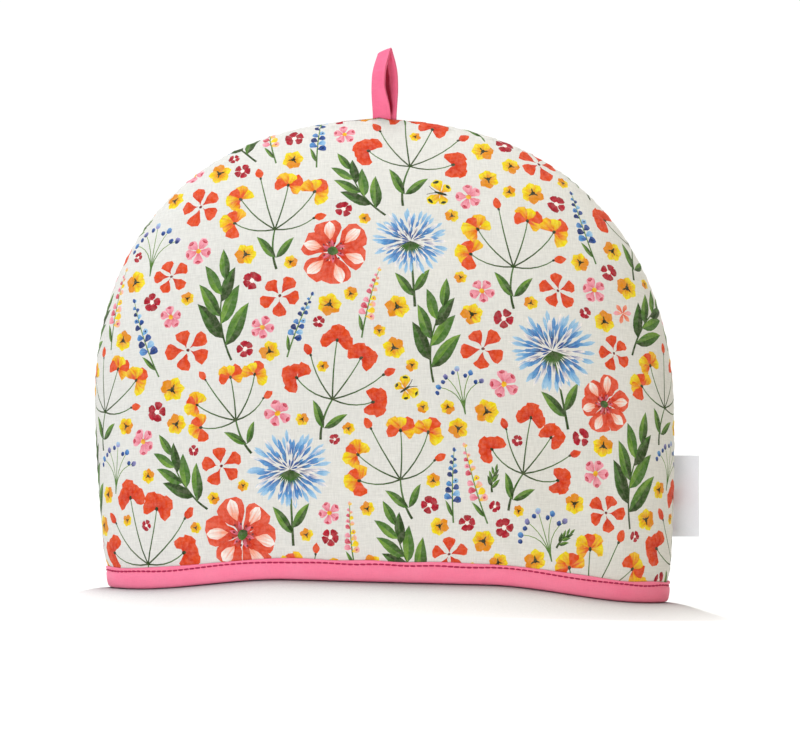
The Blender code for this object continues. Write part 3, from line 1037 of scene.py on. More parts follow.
def triangulate(outline, strokes, points):
    """Triangles inside the outline, and for each one the number of its topmost stroke, or -1."""
    corners = [outline] + [anticlockwise(stroke.outline) for stroke in strokes] + [points]
    starts = np.concatenate(((0,), np.cumsum([len(c) for c in corners])))
    faces = [list(range(starts[n], starts[n + 1])) for n in range(len(strokes) + 1)]
    verts, _, tris, _, _, over = delaunay_2d_cdt(
        [Vector(p) for p in np.vstack(corners)], [], faces, 1, 1e-4
    )
    kept = [
        (tri, max(shapes) - 1) for tri, shapes in zip(tris, over) if shapes and min(shapes) == 0
    ]
    used = sorted({corner for tri, _ in kept for corner in tri})
    new = {old: number for number, old in enumerate(used)}
    flat = np.array([verts[old] for old in used])
    triangles = np.array([[new[corner] for corner in tri] for tri, _ in kept])
    return flat, triangles, np.array([top for _, top in kept])


def boundary_loop(triangles):
    """The corners round the edge of a triangulation, in order, anticlockwise."""
    edges = np.vstack((triangles[:, :2], triangles[:, 1:], triangles[:, ::2][:, ::-1]))
    directed = {(int(a), int(b)) for a, b in edges}
    following = {a: b for a, b in directed if (b, a) not in directed}
    first = next(iter(following))
    loop = [first]
    while following[loop[-1]] != first:
        loop.append(following[loop[-1]])
    if len(loop) != len(following):
        raise RuntimeError(f"the cut edge has {len(following)} corners, its loop only {len(loop)}")
    return loop


# %% Where the flat cloth lies once it's sewn and padded
def cloth_points(panel, flat, outside):
    """Points of a panel's outer or inner face, in millimetres."""
    s, t = flat.T
    angle, height = angle_and_height(s, t)
    if not outside:
        above = np.maximum(height - WIDEST_HEIGHT, 0)
        height = np.minimum(height, WIDEST_HEIGHT) + above * (
            (crown_at(WALL) - WIDEST_HEIGHT) / (DOME_HEIGHT - WIDEST_HEIGHT)
        )
    inset = wall_inset(height, outside)
    if outside:
        inset = inset - relief(panel, s, t, height)
    front = panel == "front_panel"
    points = dome(angle if front else math.pi + angle, height, inset)
    facing = -1 if front else 1
    points[:, 1] = facing * np.maximum(np.abs(points[:, 1]), seam_parting(points))
    return points


ROOM_FOR_LOOP, ROOM_FOR_TAB = 1.75, 0.8


def seam_parting(points):
    """How far the cloth keeps from the seam's middle: the loop and the tab need room in it."""
    x, _, z = points.T
    at_loop = 1 - smooth_step(7.0, 10.0, np.abs(x - LOOP_CENTRE_X))
    at_loop = at_loop * smooth_step(200, 240, z)
    middle = TAB_LOW_EDGE + TAB_HEIGHT / 2
    at_tab = 1 - smooth_step(TAB_HEIGHT / 2 + 0.8, TAB_HEIGHT / 2 + 4, np.abs(z - middle))
    at_tab = at_tab * smooth_step(80, 120, x)
    return GAP / 2 + ROOM_FOR_LOOP * at_loop + ROOM_FOR_TAB * at_tab


def normals_of(panel, flat, outside):
    """Smooth normals of a face of the cloth, from two small steps over the flat pattern."""
    step = 0.35
    reach = np.interp(flat[:, 1], level_t, level_reach)
    t = np.clip(flat[:, 1], step, level_t[-1] - 1.5)
    reach = np.minimum(reach, np.interp(t + step, level_t, level_reach))
    reach = np.maximum(reach - step, 0)
    s = np.clip(flat[:, 0], -reach, reach)
    right, left, high, low = (
        cloth_points(panel, np.column_stack((s + by_s, t + by_t)), outside)
        for by_s, by_t in ((step, 0), (-step, 0), (0, step), (0, -step))
    )
    normal = unit(np.cross(right - left, high - low))
    return normal if outside else -normal


# %% Making a piece
def put_in_scene(name, data):
    """A new object in the scene that shows a mesh, a light or a camera."""
    thing = bpy.data.objects.new(name, data)
    bpy.context.scene.collection.objects.link(thing)
    return thing


def new_piece(name, points, faces, slot_of_face=None, materials=()):
    """A mesh object from points in millimetres and a list of faces."""
    mesh = bpy.data.meshes.new(name)
    mesh.from_pydata((np.asarray(points) * MM).tolist(), [], faces)
    for material in materials:
        mesh.materials.append(material)
    if slot_of_face is not None:
        mesh.polygons.foreach_set("material_index", slot_of_face)
    mesh.shade_smooth()
    mesh.update()
    return put_in_scene(name, mesh)


def give_vectors(mesh, name, kind, domain, values):
    """Stores a number list as an attribute that materials can read by name."""
    field = "color" if "COLOR" in kind else "vector"
    layer = mesh.attributes.new(name, kind, domain)
    layer.data.foreach_set(field, np.asarray(values, np.float32).ravel())


# %% Sewing a panel
def ink_corners(mesh, eased, stroke_of, strokes):
    """Gives each corner of the printed faces its stroke's two inks, and its place on the stroke."""
    inks_of = [(*linear(s.root_ink), 1, *linear(s.tip_ink), 1) for s in strokes] + [(0,) * 8]
    frames = [(*s.origin, s.angle, s.length, s.width) for s in strokes] + [(0, 0, 0, 1, 1)]
    plain = len(mesh.loops) - len(stroke_of)
    stroke_of = np.concatenate((stroke_of, np.full(plain, -1)))
    own, own_inks = np.array(frames)[stroke_of], np.array(inks_of)[stroke_of]
    over = np.vstack((eased, np.zeros((plain, 2)))) - own[:, :2]
    over = turned_each(over, np.cos(own[:, 2]), -np.sin(own[:, 2])) / own[:, 3:]
    give_vectors(mesh, "ink_root", "FLOAT_COLOR", "CORNER", own_inks[:, :4])
    give_vectors(mesh, "ink_tip", "FLOAT_COLOR", "CORNER", own_inks[:, 4:])
    give_vectors(
        mesh, "stroke", "FLOAT_VECTOR", "CORNER", np.column_stack((over, stroke_of * 0.37))
    )


def sew_panel(panel, materials):
    """One padded panel as a closed mesh: printed outer cloth, plain inner cloth and their rim."""
    outline = panel_outline()
    points = net_points(outline, NET, SEAM_ROWS)
    eased_outline = eased_place(outline)
    strokes = strokes_on(panel, eased_outline)
    eased, outer, top = triangulate(eased_outline, strokes, eased_place(points))
    flat = first_place(eased, np.vstack((outline, points)))
    loop = boundary_loop(outer)
    net = net_points(outline, INNER_NET, ())
    inner_flat, inner, _ = triangulate(flat[loop], [], net)
    inner_loop = boundary_loop(inner)
    if len(inner_loop) != len(loop):
        raise RuntimeError("the inner cloth's edge doesn't match the outer's")
    nearest = np.argmin(np.linalg.norm(inner_flat[inner_loop] - flat[loop[0]], axis=1))
    inner_loop = inner_loop[nearest:] + inner_loop[:nearest]
    first = len(flat)
    loop, inner_loop = np.array(loop), np.array(inner_loop) + first
    rim = np.column_stack((np.roll(loop, -1), loop, inner_loop, np.roll(inner_loop, -1)))
    points = np.vstack((cloth_points(panel, flat, True), cloth_points(panel, inner_flat, False)))
    faces = outer.tolist() + (inner[:, ::-1] + first).tolist() + rim.tolist()
    slots = [0] * len(outer) + [1] * (len(inner) + len(rim))
    thing = new_piece(f"{panel}_cloth", stand(points), faces, slots, materials)
    mesh = thing.data
    ink_corners(mesh, eased[outer.ravel()], np.repeat(top, 3), strokes)
    all_flat = np.vstack((eased, inner_flat))
    give_vectors(
        mesh, "cloth", "FLOAT_VECTOR", "POINT", np.column_stack((all_flat, np.zeros(len(all_flat))))
    )
    bake_layout(mesh, flat, inner_flat, outer, inner, rim)
    normals = np.vstack((normals_of(panel, flat, True), normals_of(panel, inner_flat, False)))
    set_normals(mesh, stood_up(normals), len(outer) + len(inner))
    print(f"{panel}: {len(strokes)} strokes, {len(outer)} outer and {len(inner)} inner triangles")
    return thing


def set_normals(mesh, normals, smooth_faces):
    """Corner normals: the cloth's own on its two faces, flat ones on the narrow rim."""
    corner = np.empty(len(mesh.loops), np.int32)
    mesh.loops.foreach_get("vertex_index", corner)
    chosen = normals[corner]
    rim_start = 3 * smooth_faces
    face_normals = np.empty(3 * len(mesh.polygons))
    mesh.polygons.foreach_get("normal", face_normals)
    rim_normals = face_normals.reshape(-1, 3)[smooth_faces:]
    chosen[rim_start:] = np.repeat(rim_normals, 4, axis=0)
    mesh.normals_split_custom_set(chosen.tolist())


def bake_layout(mesh, flat, inner_flat, outer, inner, rim):
    """A map with no overlaps: the outer cloth large, the inner cloth small, the rim as a strip."""
    wide = 2 * level_reach.max()
    big = (flat + (wide / 2, 0)) / wide * 0.97 + (0.015, 0.30)
    small = (inner_flat + (wide / 2, 0)) / wide * 0.38 + (0.015, 0.015)
    places = np.linspace(0.42, 0.985, len(rim) + 1)
    strip = np.empty((len(rim), 4, 2))
    ends = ((places[1:], 0.06), (places[:-1], 0.06), (places[:-1], 0.02), (places[1:], 0.02))
    for corner, (across, up) in enumerate(ends):
        strip[:, corner] = np.column_stack((across, np.full(len(rim), up)))
    layer = mesh.uv_layers.new(name="OFBake")
    corners = np.vstack((big[outer.ravel()], small[inner[:, ::-1].ravel()], strip.reshape(-1, 2)))
    layer.data.foreach_set("uv", corners.astype(np.float32).ravel())


# %% [markdown]
# ## Materials
# Every cloth here carries an attribute `cloth`, its own flat coordinates in millimetres, so threads
# have their true spacing wherever the cloth bends. A wave texture's bands are 2 pi / (20 x scale)
# apart, so a spacing in millimetres turns into a scale of 0.314 / spacing.


# %% Building blocks of a material
def add_node(tree, kind, inputs=(), **settings):
    """Adds a node and sets its properties. An input given as a socket is linked, a value is set."""
    node = tree.nodes.new("ShaderNode" + kind)
    for key, value in settings.items():
        setattr(node, key, value)
    for key, value in dict(inputs).items():
        if isinstance(value, bpy.types.NodeSocket):
            tree.links.new(value, node.inputs[key])
        else:
            node.inputs[key].default_value = value
    return node


def calculate(tree, operation, first, second=0.0, third=0.0):
    """A number from up to three others."""
    values = {0: first, 1: second, 2: third}
    return add_node(tree, "Math", values, operation=operation).outputs[0]


def mix_colours(tree, factor, first, second, way="MIX"):
    node = add_node(tree, "Mix", data_type="RGBA", blend_type=way)
    for key, value in ((0, factor), (6, first), (7, second)):
        if isinstance(value, bpy.types.NodeSocket):
            tree.links.new(value, node.inputs[key])
        elif key == 0:
            node.inputs[key].default_value = value
        else:
            node.inputs[key].default_value = (*value, 1)
    return node.outputs[2]


def new_material(name, **constants):
    """A material with its shader's constant values set on the shader itself."""
    material = bpy.data.materials.new(name)
    material.use_nodes = True
    tree = material.node_tree
    shader = tree.nodes["Principled BSDF"]
    for key, value in constants.items():
        shader.inputs[key.replace("_", " ")].default_value = value
    return material, tree, shader


def flat_coordinates(tree, name="cloth"):
    return add_node(tree, "Attribute", attribute_name=name).outputs["Vector"]


def ranged(tree, value, low, high, to_low=0.0, to_high=1.0, **settings):
    """A value moved from one range to another."""
    limits = {"From Min": low, "From Max": high, "To Min": to_low, "To Max": to_high}
    return add_node(tree, "MapRange", {"Value": value, **limits}, **settings).outputs[0]


def stretched_noise(tree, vector, scale, detail=2.0, roughness=0.5):
    """Noise whose grain is stretched: scale is the number of lumps for each millimetre each way."""
    placed = add_node(tree, "Mapping", {"Vector": vector, "Scale": scale})
    values = {"Vector": placed.outputs[0], "Scale": 1.0, "Detail": detail, "Roughness": roughness}
    return add_node(tree, "TexNoise", values).outputs[0]


def threads(tree, vector, spacing, direction):
    """Even threads a given number of millimetres apart."""
    values = {"Vector": vector, "Scale": 0.314 / spacing, "Distortion": 0.6, "Detail": 1.0}
    return add_node(
        tree, "TexWave", values, wave_type="BANDS", bands_direction=direction
    ).outputs["Fac"]


def weave(tree, shader, vector, spacing, depth, slub):
    """Bump of a plain weave with its thick and thin threads. Returns the unevenness, about 0.5."""
    weft = stretched_noise(tree, vector, (0.16 / slub, 1.5 / slub, 1), 2.5, 0.65)
    warp = stretched_noise(tree, vector, (1.6 / slub, 0.18 / slub, 1), 2.5, 0.65)
    uneven = calculate(tree, "MULTIPLY", calculate(tree, "ADD", weft, warp), 0.5)
    over = calculate(tree, "SUBTRACT", threads(tree, vector, spacing, "X"), 0.5)
    under = calculate(tree, "SUBTRACT", threads(tree, vector, spacing, "Y"), 0.5)
    plain = calculate(tree, "MULTIPLY", over, under)
    height = calculate(tree, "ADD", calculate(tree, "MULTIPLY", uneven, 2.2), plain)
    values = {"Height": height, "Strength": 0.55, "Distance": depth * MM}
    bump = add_node(tree, "Bump", values)
    tree.links.new(bump.outputs[0], shader.inputs["Normal"])
    tree.links.new(ranged(tree, uneven, 0.35, 0.65, 0.95, 0.80), shader.inputs["Roughness"])
    return uneven


def shaded(tree, colour, uneven, amount):
    """The colour made darker and lighter with the threads' unevenness."""
    level = ranged(tree, uneven, 0.36, 0.64, 1 - amount, 1 + 0.6 * amount)
    grey = add_node(tree, "CombineColor", {channel: level for channel in range(3)})
    return mix_colours(tree, 1.0, colour, grey.outputs[0], "MULTIPLY")


# %% [markdown]
# The printed linen. The ground is bleached cloth with slubs, the thick places of linen thread. The
# ink runs from a stroke's root colour to its tip colour, pushed about by streaks along the stroke,
# and thinned in soft patches as a wash is. The threads then shade ground and ink alike. The other
# cloths are dyed, so one table of colours and threads makes them all. Only the pink tape has a
# third colour: a painted shade, a deeper crimson on its inner face towards its folded edge, where
# the inside of the loop lies in shade.


# %% The printed linen and the dyed cloths
def printed_linen():
    material, tree, shader = new_material(
        "printed_linen", Sheen_Weight=0.05, Specular_IOR_Level=0.25
    )
    cloth = flat_coordinates(tree)
    stroke = flat_coordinates(tree, "stroke")
    root = add_node(tree, "Attribute", attribute_name="ink_root")
    tip = add_node(tree, "Attribute", attribute_name="ink_tip")
    uneven = weave(tree, shader, cloth, 0.55, 0.10, 1.15)
    streak = stretched_noise(tree, stroke, (1.1, 6.5, 1.0), 2.0)
    along = add_node(tree, "SeparateXYZ", {"Vector": stroke}).outputs[0]
    pushed = calculate(tree, "MULTIPLY_ADD", calculate(tree, "SUBTRACT", streak, 0.5), 1.5, along)
    share = ranged(tree, pushed, 0.12, 0.88)
    ink = mix_colours(tree, share, root.outputs["Color"], tip.outputs["Color"])
    patch = stretched_noise(tree, cloth, (0.35, 0.35, 1.0), 3.0, 0.6)
    thin = mix_colours(tree, ranged(tree, patch, 0.40, 0.72, 0.0, 0.10), ink, linear("#F6E9DC"))
    age = stretched_noise(tree, cloth, (0.012, 0.012, 1.0), 2.0)
    ground = mix_colours(tree, age, linear("#E1E1DD"), linear("#DCDCD7"))
    colour = mix_colours(tree, root.outputs["Alpha"], ground, thin)
    tree.links.new(shaded(tree, colour, uneven, 0.11), shader.inputs["Base Color"])
    return material


def dyed_cloth(name, dark, light, spacing, depth, slub, amount, sheen, gloss, painted_shade=None):
    """A cloth between two near colours, and a painted shade in a deeper colour where its third
    coordinate says so.
    """
    material, tree, shader = new_material(name, Sheen_Weight=sheen, Specular_IOR_Level=gloss)
    cloth = flat_coordinates(tree)
    uneven = weave(tree, shader, cloth, spacing, depth, slub)
    patch = stretched_noise(tree, cloth, (0.06, 0.09, 1.0), 3.0)
    colour = mix_colours(tree, patch, linear(dark), linear(light))
    if painted_shade:
        # Painted shade: the third cloth coordinate mixes in the deeper colour; only the pink tape
        # of the loop uses it
        share = add_node(tree, "SeparateXYZ", {"Vector": cloth}).outputs[2]
        colour = mix_colours(tree, share, colour, linear(painted_shade))
    tree.links.new(shaded(tree, colour, uneven, amount), shader.inputs["Base Color"])
    return material


PRINTED = printed_linen()
DYED = (
    # name, its two colours, thread spacing, bump depth, slub, shading, sheen, gloss, colour of
    # painted shade
    ("plain_inner_cotton", "#E9E3D6", "#F0EBE0", 0.5, 0.06, 0.8, 0.05, 0.05, 0.25),
    ("pink_binding_cotton", "#FF789D", "#FF90AF", 0.38, 0.05, 0.7, 0.05, 0.15, 0.3),
    ("pink_tape_cotton", "#F4668F", "#FA7DA0", 0.42, 0.06, 0.6, 0.06, 0.15, 0.3, "#AC0F3A"),
    ("crimson_sewing_thread", "#A00E44", "#BC1E58", 0.25, 0.04, 0.3, 0.1, 0.1, 0.4),
    ("white_satin_tape", "#E4E7EE", "#EDEFF5", 0.3, 0.04, 0.4, 0.035, 0.1, 0.5),
)
INNER, PINK, PINK_TAPE, THREAD, WHITE_TAPE = (dyed_cloth(*row) for row in DYED)
print("materials:", ", ".join([PRINTED.name] + [row[0] for row in DYED]))


# %% Sewing the two panels
front_panel = sew_panel("front_panel", (PRINTED, INNER))
back_panel = sew_panel("back_panel", (PRINTED, INNER))


# %% [markdown]
# ## The pink binding
# A strip of bias binding is folded over the raw hem and top-stitched near its upper edge. Its
# section is a list of (inset, height) points; carrying it round the hem gives the channel. The
# stitches pull a shallow groove, the fold rolls outwards below it, and the strip's end laps over
# its start at the right-hand seam.

# %% The binding's section, in millimetres
OUTER = BINDING_PROUD
CHANNEL = OUTER + BINDING_CLOTH
FAR = CHANNEL + HEM_WALL + 2 * GAP
INNER_FACE = FAR + BINDING_CLOTH
STITCH_HEIGHT, STITCH_SPACING, STITCH_LENGTH, THREAD_THICKNESS = 9.9, 3.6, 3.5, 1.02
BINDING_SECTION = np.array((
    # inset, height, how much of the outer leg's unevenness applies
    (2.55, 0.0, 0.0), (1.7, 0.12, 0.2), (1.0, 0.6, 0.5), (0.52, 1.4, 0.8), (0.28, 2.5, 1.0),
    (0.10, 4.0, 1.0), (0.05, 5.4, 1.0), (0.10, 6.9, 1.0), (0.26, 8.3, 0.9), (0.66, 9.3, 0.5),
    (0.98, 9.9, 0.2), (0.74, 10.4, 0.5), (0.42, 10.9, 1.0), (0.34, 11.45, 1.0), (0.50, 11.9, 1.0),
    (0.85, 12.1, 1.0), (1.15, 11.9, 0.6), (CHANNEL, 11.4, 0.2), (CHANNEL, 8.0, 0.0),
    (CHANNEL, 4.0, 0.0), (CHANNEL, 1.0, 0.0), (FAR, 1.0, 0.0), (FAR, 4.0, 0.0), (FAR, 8.0, 0.0),
    (FAR, 10.9, 0.0), (FAR + 0.3, 11.45, 0.0), (INNER_FACE - 0.25, 11.4, 0.0),
    (INNER_FACE - 0.02, 10.9, 0.0), (INNER_FACE - 0.35, 9.9, 0.0), (INNER_FACE, 9.0, 0.0),
    (INNER_FACE, 5.0, 0.0), (INNER_FACE, 2.4, 0.0), (INNER_FACE - 0.3, 1.3, 0.0),
    (INNER_FACE - 0.9, 0.5, 0.0), (INNER_FACE - 1.6, 0.1, 0.0), (5.1, 0.0, 0.0),
))


# %% The binding's line round the hem, and its unevenness
def hem_angles(spacing):
    """Angles at even distances round the hem, starting at the left seam, and those distances."""
    fine = np.linspace(-math.pi / 2, 1.5 * math.pi, 2881)
    line = dome(fine, 6.0, 0.0)
    lengths = running_length(line)
    count = round(lengths[-1] / spacing)
    places = np.arange(count) * lengths[-1] / count
    return np.interp(places, lengths, fine), places, lengths[-1]


def binding_unevenness(place, height, seam_place):
    """How far the outer leg stands out: small pulls of the stitches, and the lap at the seam."""
    pull = 0.20 * np.sin(2 * math.pi * place / STITCH_SPACING + 0.9 * np.sin(place / 17))
    pull = pull * np.exp(-(((height - STITCH_HEIGHT) / 2.2) ** 2))
    roll = 0.16 * np.sin(place / 21 + 1.3 * np.sin(place / 37))
    roll = roll * np.sin(math.pi * np.clip(height / 10, 0, 1))
    twist = 0.10 * np.sin(2 * math.pi * (place + 0.9 * height) / 11.5)
    twist = twist * np.exp(-(((height - 5) / 3) ** 2))
    past = place - seam_place + 0.25 * (height - 6)
    lap = 0.5 * (smooth_step(-4.0, -3.3, past) - smooth_step(6.0, 7.2, past))
    return pull + roll + twist + lap


def outer_leg(angle, place, seam_place, inset, height, share):
    """Points of the binding, with the outer leg's unevenness applied by its share."""
    uneven = share * binding_unevenness(place, height, seam_place)
    edge = 0.32 * np.sin(place / 9.0 + 1.7 * np.sin(place / 29)) * share
    edge = edge * smooth_step(10.6, 11.6, height)
    return dome(angle, height + edge, inset - uneven)


# %% Skins over rings of points, and a row of stitches
def skin_faces(stations, around, closes, first=0):
    """The faces of a skin over rings of corners, its ends capped unless it closes on itself."""
    faces = []
    for station in range(stations if closes else stations - 1):
        ring, ahead = first + station * around, first + (station + 1) % stations * around
        for place in range(around):
            beside = (place + 1) % around
            faces.append((ring + place, ring + beside, ahead + beside, ahead + place))
    if not closes:
        last = first + (stations - 1) * around
        faces.append(tuple(range(first, first + around))[::-1])
        faces.append(tuple(range(last, last + around)))
    return faces


def swept(name, rings, closes, materials, flat=None):
    """A closed skin over rings of points, its ends capped unless the last ring meets the first."""
    stations, around = rings.shape[:2]
    faces = skin_faces(stations, around, closes)
    points = rings.reshape(-1, 3)
    corners = points[[face[:3] for face in faces]]
    middle = points.mean(axis=0)
    if np.einsum("ij,ij->i", corners[:, 0] - middle,
                 np.cross(corners[:, 1] - middle, corners[:, 2] - middle)).sum() < 0:
        faces = [face[::-1] for face in faces]
    thing = new_piece(name, stand(points), faces, None, materials)
    if flat is None:
        along = running_length(rings.mean(axis=1))
        over = np.array([running_length(ring) for ring in rings])
        flat = np.stack((np.repeat(along[:, None], around, axis=1), over, 0 * over), axis=-1)
    give_vectors(thing.data, "cloth", "FLOAT_VECTOR", "POINT", flat)
    return thing


def stitch_row(name, centres, tangents, outwards, material):
    """Short lengths of thread, each one's ends dipping into the cloth."""
    shape = ((-0.5, 0.25, -0.55), (-0.42, 0.8, -0.12), (-0.2, 1.0, 0.1), (0.2, 1.0, 0.1),
             (0.42, 0.8, -0.12), (0.5, 0.25, -0.55))
    sides = 7
    turn = np.arange(sides) * 2 * math.pi / sides
    points, faces = [], []
    for centre, tangent, out in zip(centres, tangents, outwards):
        beside = np.cross(tangent, out)
        first = len(points)
        for along, girth, lift in shape:
            ring_centre = centre + tangent * along * STITCH_LENGTH + out * lift * THREAD_THICKNESS
            for angle in turn:
                around = beside * math.cos(angle) + out * math.sin(angle)
                points.append(ring_centre + around * girth * THREAD_THICKNESS / 2)
        faces += skin_faces(len(shape), sides, False, first)
    thing = new_piece(name, stand(points), faces, None, (material,))
    give_vectors(thing.data, "cloth", "FLOAT_VECTOR", "POINT", np.array(points)[:, (0, 2, 1)])
    return thing


# %% Folding and stitching the binding
angles, places, hem_length = hem_angles(2.0)
seam_place = float(np.interp(math.pi / 2, angles, places))
inset, height, share = BINDING_SECTION.T[:, None]
rings = outer_leg(angles[:, None], places[:, None], seam_place, inset, height, share)
hem_binding = swept("hem_binding_channel", rings, True, (PINK,))

stitch_angles, stitch_places, _ = hem_angles(STITCH_SPACING)
rows = []
for face_inset, side in ((0.80, 1), (INNER_FACE - 0.28, -1)):
    lift = binding_unevenness(stitch_places, STITCH_HEIGHT, seam_place) * 0.3 * (side > 0)
    wander = STITCH_HEIGHT + 0.3 * np.sin(stitch_places / 7 + 1.8 * np.sin(stitch_places / 31))
    centres = dome(stitch_angles, wander, face_inset - lift)
    ahead = dome(stitch_angles + 0.004, wander, face_inset - lift)
    tangents = unit(ahead - centres)
    deeper = dome(stitch_angles, wander, face_inset + 1)
    outwards = (centres - deeper) * side
    outwards -= tangents * np.einsum("ij,ij->i", outwards, tangents)[:, None]
    rows.append((centres, tangents, unit(outwards)))
centres, tangents, outwards = (np.vstack(parts) for parts in zip(*rows))
hem_stitching = stitch_row("hem_stitching", centres, tangents, outwards, THREAD)
print(f"hem: {hem_length:.0f} mm round, {len(centres)} stitches")


# %% [markdown]
# ## The hanging loop
# A narrow tape, folded lengthwise and stitched shut, rises from the crown seam, turns over and
# comes back down beside itself. The stiff fold twists it, so from the front one leg shows its broad
# face and the other only its edge. Its section is two thin plies with a rounded fold at one edge
# and a slit at the other.

# %% The loop
LOOP_HEIGHT, LOOP_TAIL, TAPE_WIDTH, TAPE_THICKNESS = 38.4, 3.0, 10.5, 1.4
LOOP_FULL_TAIL, LOOP_CLIMB_POWER = 8.0, 1.15
LOOP_HALF_OPENING, LOOP_ROOT_SPREAD = 5.2, 1.6
LOOP_ROOT_TWIST, LOOP_TWIST, LOOP_TOP_SLOPE = math.radians(6), math.radians(44), 0.28
LOOP_ROOT = np.array((LOOP_CENTRE_X, 0, DOME_HEIGHT))


def loop_station(share):
    """The tape's centre, the way across it, and how high up the loop this share of it stands."""
    turn = 2 * share - 1
    leg = np.where(turn < 0, -1.0, 1.0)
    reach = 1 - np.abs(turn)
    level = (LOOP_HEIGHT + LOOP_FULL_TAIL) * (1 - (1 - reach) ** LOOP_CLIMB_POWER) - LOOP_FULL_TAIL
    climb = np.clip(level / LOOP_HEIGHT, 0, 1)
    touching = TAPE_THICKNESS / 2 + GAP / 2
    belly = np.sin(math.pi * climb**1.2) ** 1.1
    apart = touching + (LOOP_HALF_OPENING - touching) * belly
    apart = apart * np.sqrt(np.maximum(0, 1 - climb**8))
    twist = LOOP_ROOT_TWIST + (LOOP_TWIST - LOOP_ROOT_TWIST) * smooth_step(0, 0.5, climb)
    twist = twist * smooth_step(-LOOP_FULL_TAIL / 2, LOOP_FULL_TAIL / 4, level)
    nothing = 0 * twist
    across = np.stack((np.cos(twist), -np.sin(twist), nothing), axis=-1)
    forward = np.stack((-np.sin(twist), -np.cos(twist), nothing), axis=-1)
    spread = LOOP_ROOT_SPREAD * (1 - smooth_step(0.1, 0.6, climb))
    centre = np.stack((leg * spread, nothing, level), axis=-1) - forward * (leg * apart)[:, None]
    return centre, across, climb


def tape_section():
    """The folded tape's section, (across, through): its fold at the left, its slit at the right."""
    half, thick = TAPE_WIDTH / 2, TAPE_THICKNESS / 2
    bend = np.linspace(math.pi / 2, 1.5 * math.pi, 7)
    fold = np.column_stack((-half + thick + thick * np.cos(bend), thick * np.sin(bend)))
    across = np.array((-3.6, -2.7, -1.8, -0.9, 0.0, 0.9, 1.8, 2.4, 3.0, 3.5, 4.0, 4.7))
    groove = np.array((0.02, 0.04, 0.05, 0.06, 0.06, 0.05, 0.04, 0.01, -0.03, -0.14, -0.03, 0.0))
    lower = np.column_stack((across, -thick - groove))
    upper = np.column_stack((across, thick + groove))[::-1]
    edge = np.array((
        (half - 0.12, -thick + 0.05), (half, -thick + 0.3), (half - 0.1, -0.12),
        (half - 1.3, -0.03), (half - 1.3, 0.03),
        (half - 0.15, 0.12), (half - 0.04, thick - 0.3), (half - 0.16, thick - 0.05),
    ))
    return np.vstack((fold, lower, edge, upper))


# %% Folding the loop
cut_off = (LOOP_FULL_TAIL - LOOP_TAIL) / (LOOP_HEIGHT + LOOP_FULL_TAIL)
lowest = 0.5 * (1 - (1 - cut_off) ** (1 / LOOP_CLIMB_POWER))
loop_shares = np.linspace(lowest, 1 - lowest, 121)
centre, across, climb = loop_station(loop_shares)
step = 1 / 60
ahead = loop_station(np.minimum(loop_shares + step, 1))[0]
through = ahead - loop_station(np.maximum(loop_shares - step, 0))[0]
through = unit(np.cross(through, across))
slope = np.zeros_like(across)
slope[:, 2] = LOOP_TOP_SLOPE * climb**2
over_tape, thick_tape = tape_section().T
ripple = 0.10 * np.sin(loop_shares * 71)[:, None] + 0.06 * np.sin(loop_shares * 173 + 1)[:, None]
rings = (
    LOOP_ROOT
    + centre[:, None]
    + (across + slope)[:, None] * over_tape[None, :, None]
    + through[:, None] * (thick_tape[None, :] + ripple * np.cos(over_tape / 3.4))[..., None]
)
lengths, girth = running_length(centre), running_length(tape_section())
# Painted shade for the inside of the loop: the third cloth coordinate darkens the tape's inner face
# towards its fold, over more of its width low down, and not at the root
is_inner = np.clip(thick_tape / (TAPE_THICKNESS / 2), 0, 1)
painted_shade_edge = 2.9 - 3.3 * smooth_step(0.1, 0.55, climb)
depth = is_inner * (1 - smooth_step(-0.6, 0.6, over_tape - painted_shade_edge[:, None]))
depth = depth * smooth_step(0.02, 0.12, climb)[:, None] ** 0.5
up_tape, round_tape = np.meshgrid(lengths, girth, indexing="ij")
flat = np.stack((up_tape, round_tape, depth), axis=-1)
hanging_loop = swept("hanging_loop_tape", rings, False, (PINK_TAPE,), flat)
print(f"loop: {lengths[-1]:.0f} mm of tape")


# %% [markdown]
# ## The side tab
# A soft white tape folded in two and caught in the right-hand seam. It is woven satin, and it is
# bare. The two plies bow a little apart between the seam and the fold.

# %% The tab
TAB_TAIL, TAB_PLY, TAB_THICKNESS, TAB_CURL = 3.0, 0.34, 1.2, 1.6
tab_seam = float(dome(math.pi / 2, TAB_LOW_EDGE + TAB_HEIGHT / 2, 0.0)[0])
ply_middle = (TAB_THICKNESS - TAB_PLY) / 2
out = np.linspace(-TAB_TAIL, TAB_OUT - ply_middle - TAB_PLY / 2, 15)
bend = np.linspace(-math.pi / 2, math.pi / 2, 9)[1:-1]


def folded_line(distance):
    """The folded tape's line in plan, a given distance outside its middle."""
    radius = ply_middle + distance
    bow = 1 + 0.25 * np.sin(math.pi * np.clip(out / TAB_OUT, 0, 1))
    front = np.column_stack((out, -radius * bow))
    turn = np.column_stack((out[-1] + radius * np.cos(bend), radius * np.sin(bend)))
    return np.vstack((front, turn, (front * (1, -1))[::-1]))


plan = np.vstack((folded_line(TAB_PLY / 2), folded_line(-TAB_PLY / 2)[::-1]))
levels = np.linspace(0, TAB_HEIGHT, 37)
past = np.maximum(plan[:, 0], 0) / TAB_OUT
rings = np.empty((len(levels), len(plan), 3))
for number, level in enumerate(levels):
    wave = 0.16 * math.sin(level / 5.2) + 0.12 * math.sin(level / 2.9 + 1)
    rings[number, :, 0] = tab_seam + plan[:, 0] * (1 + 0.004 * math.sin(level / 6))
    rings[number, :, 1] = plan[:, 1] - (TAB_CURL + wave) * past**2
    rings[number, :, 2] = TAB_LOW_EDGE + level
side_tab = swept("side_tab_tape", rings, False, (WHITE_TAPE,))
for thing in (hem_binding, hanging_loop, side_tab):
    thing.data.set_sharp_from_angle(angle=math.radians(50))


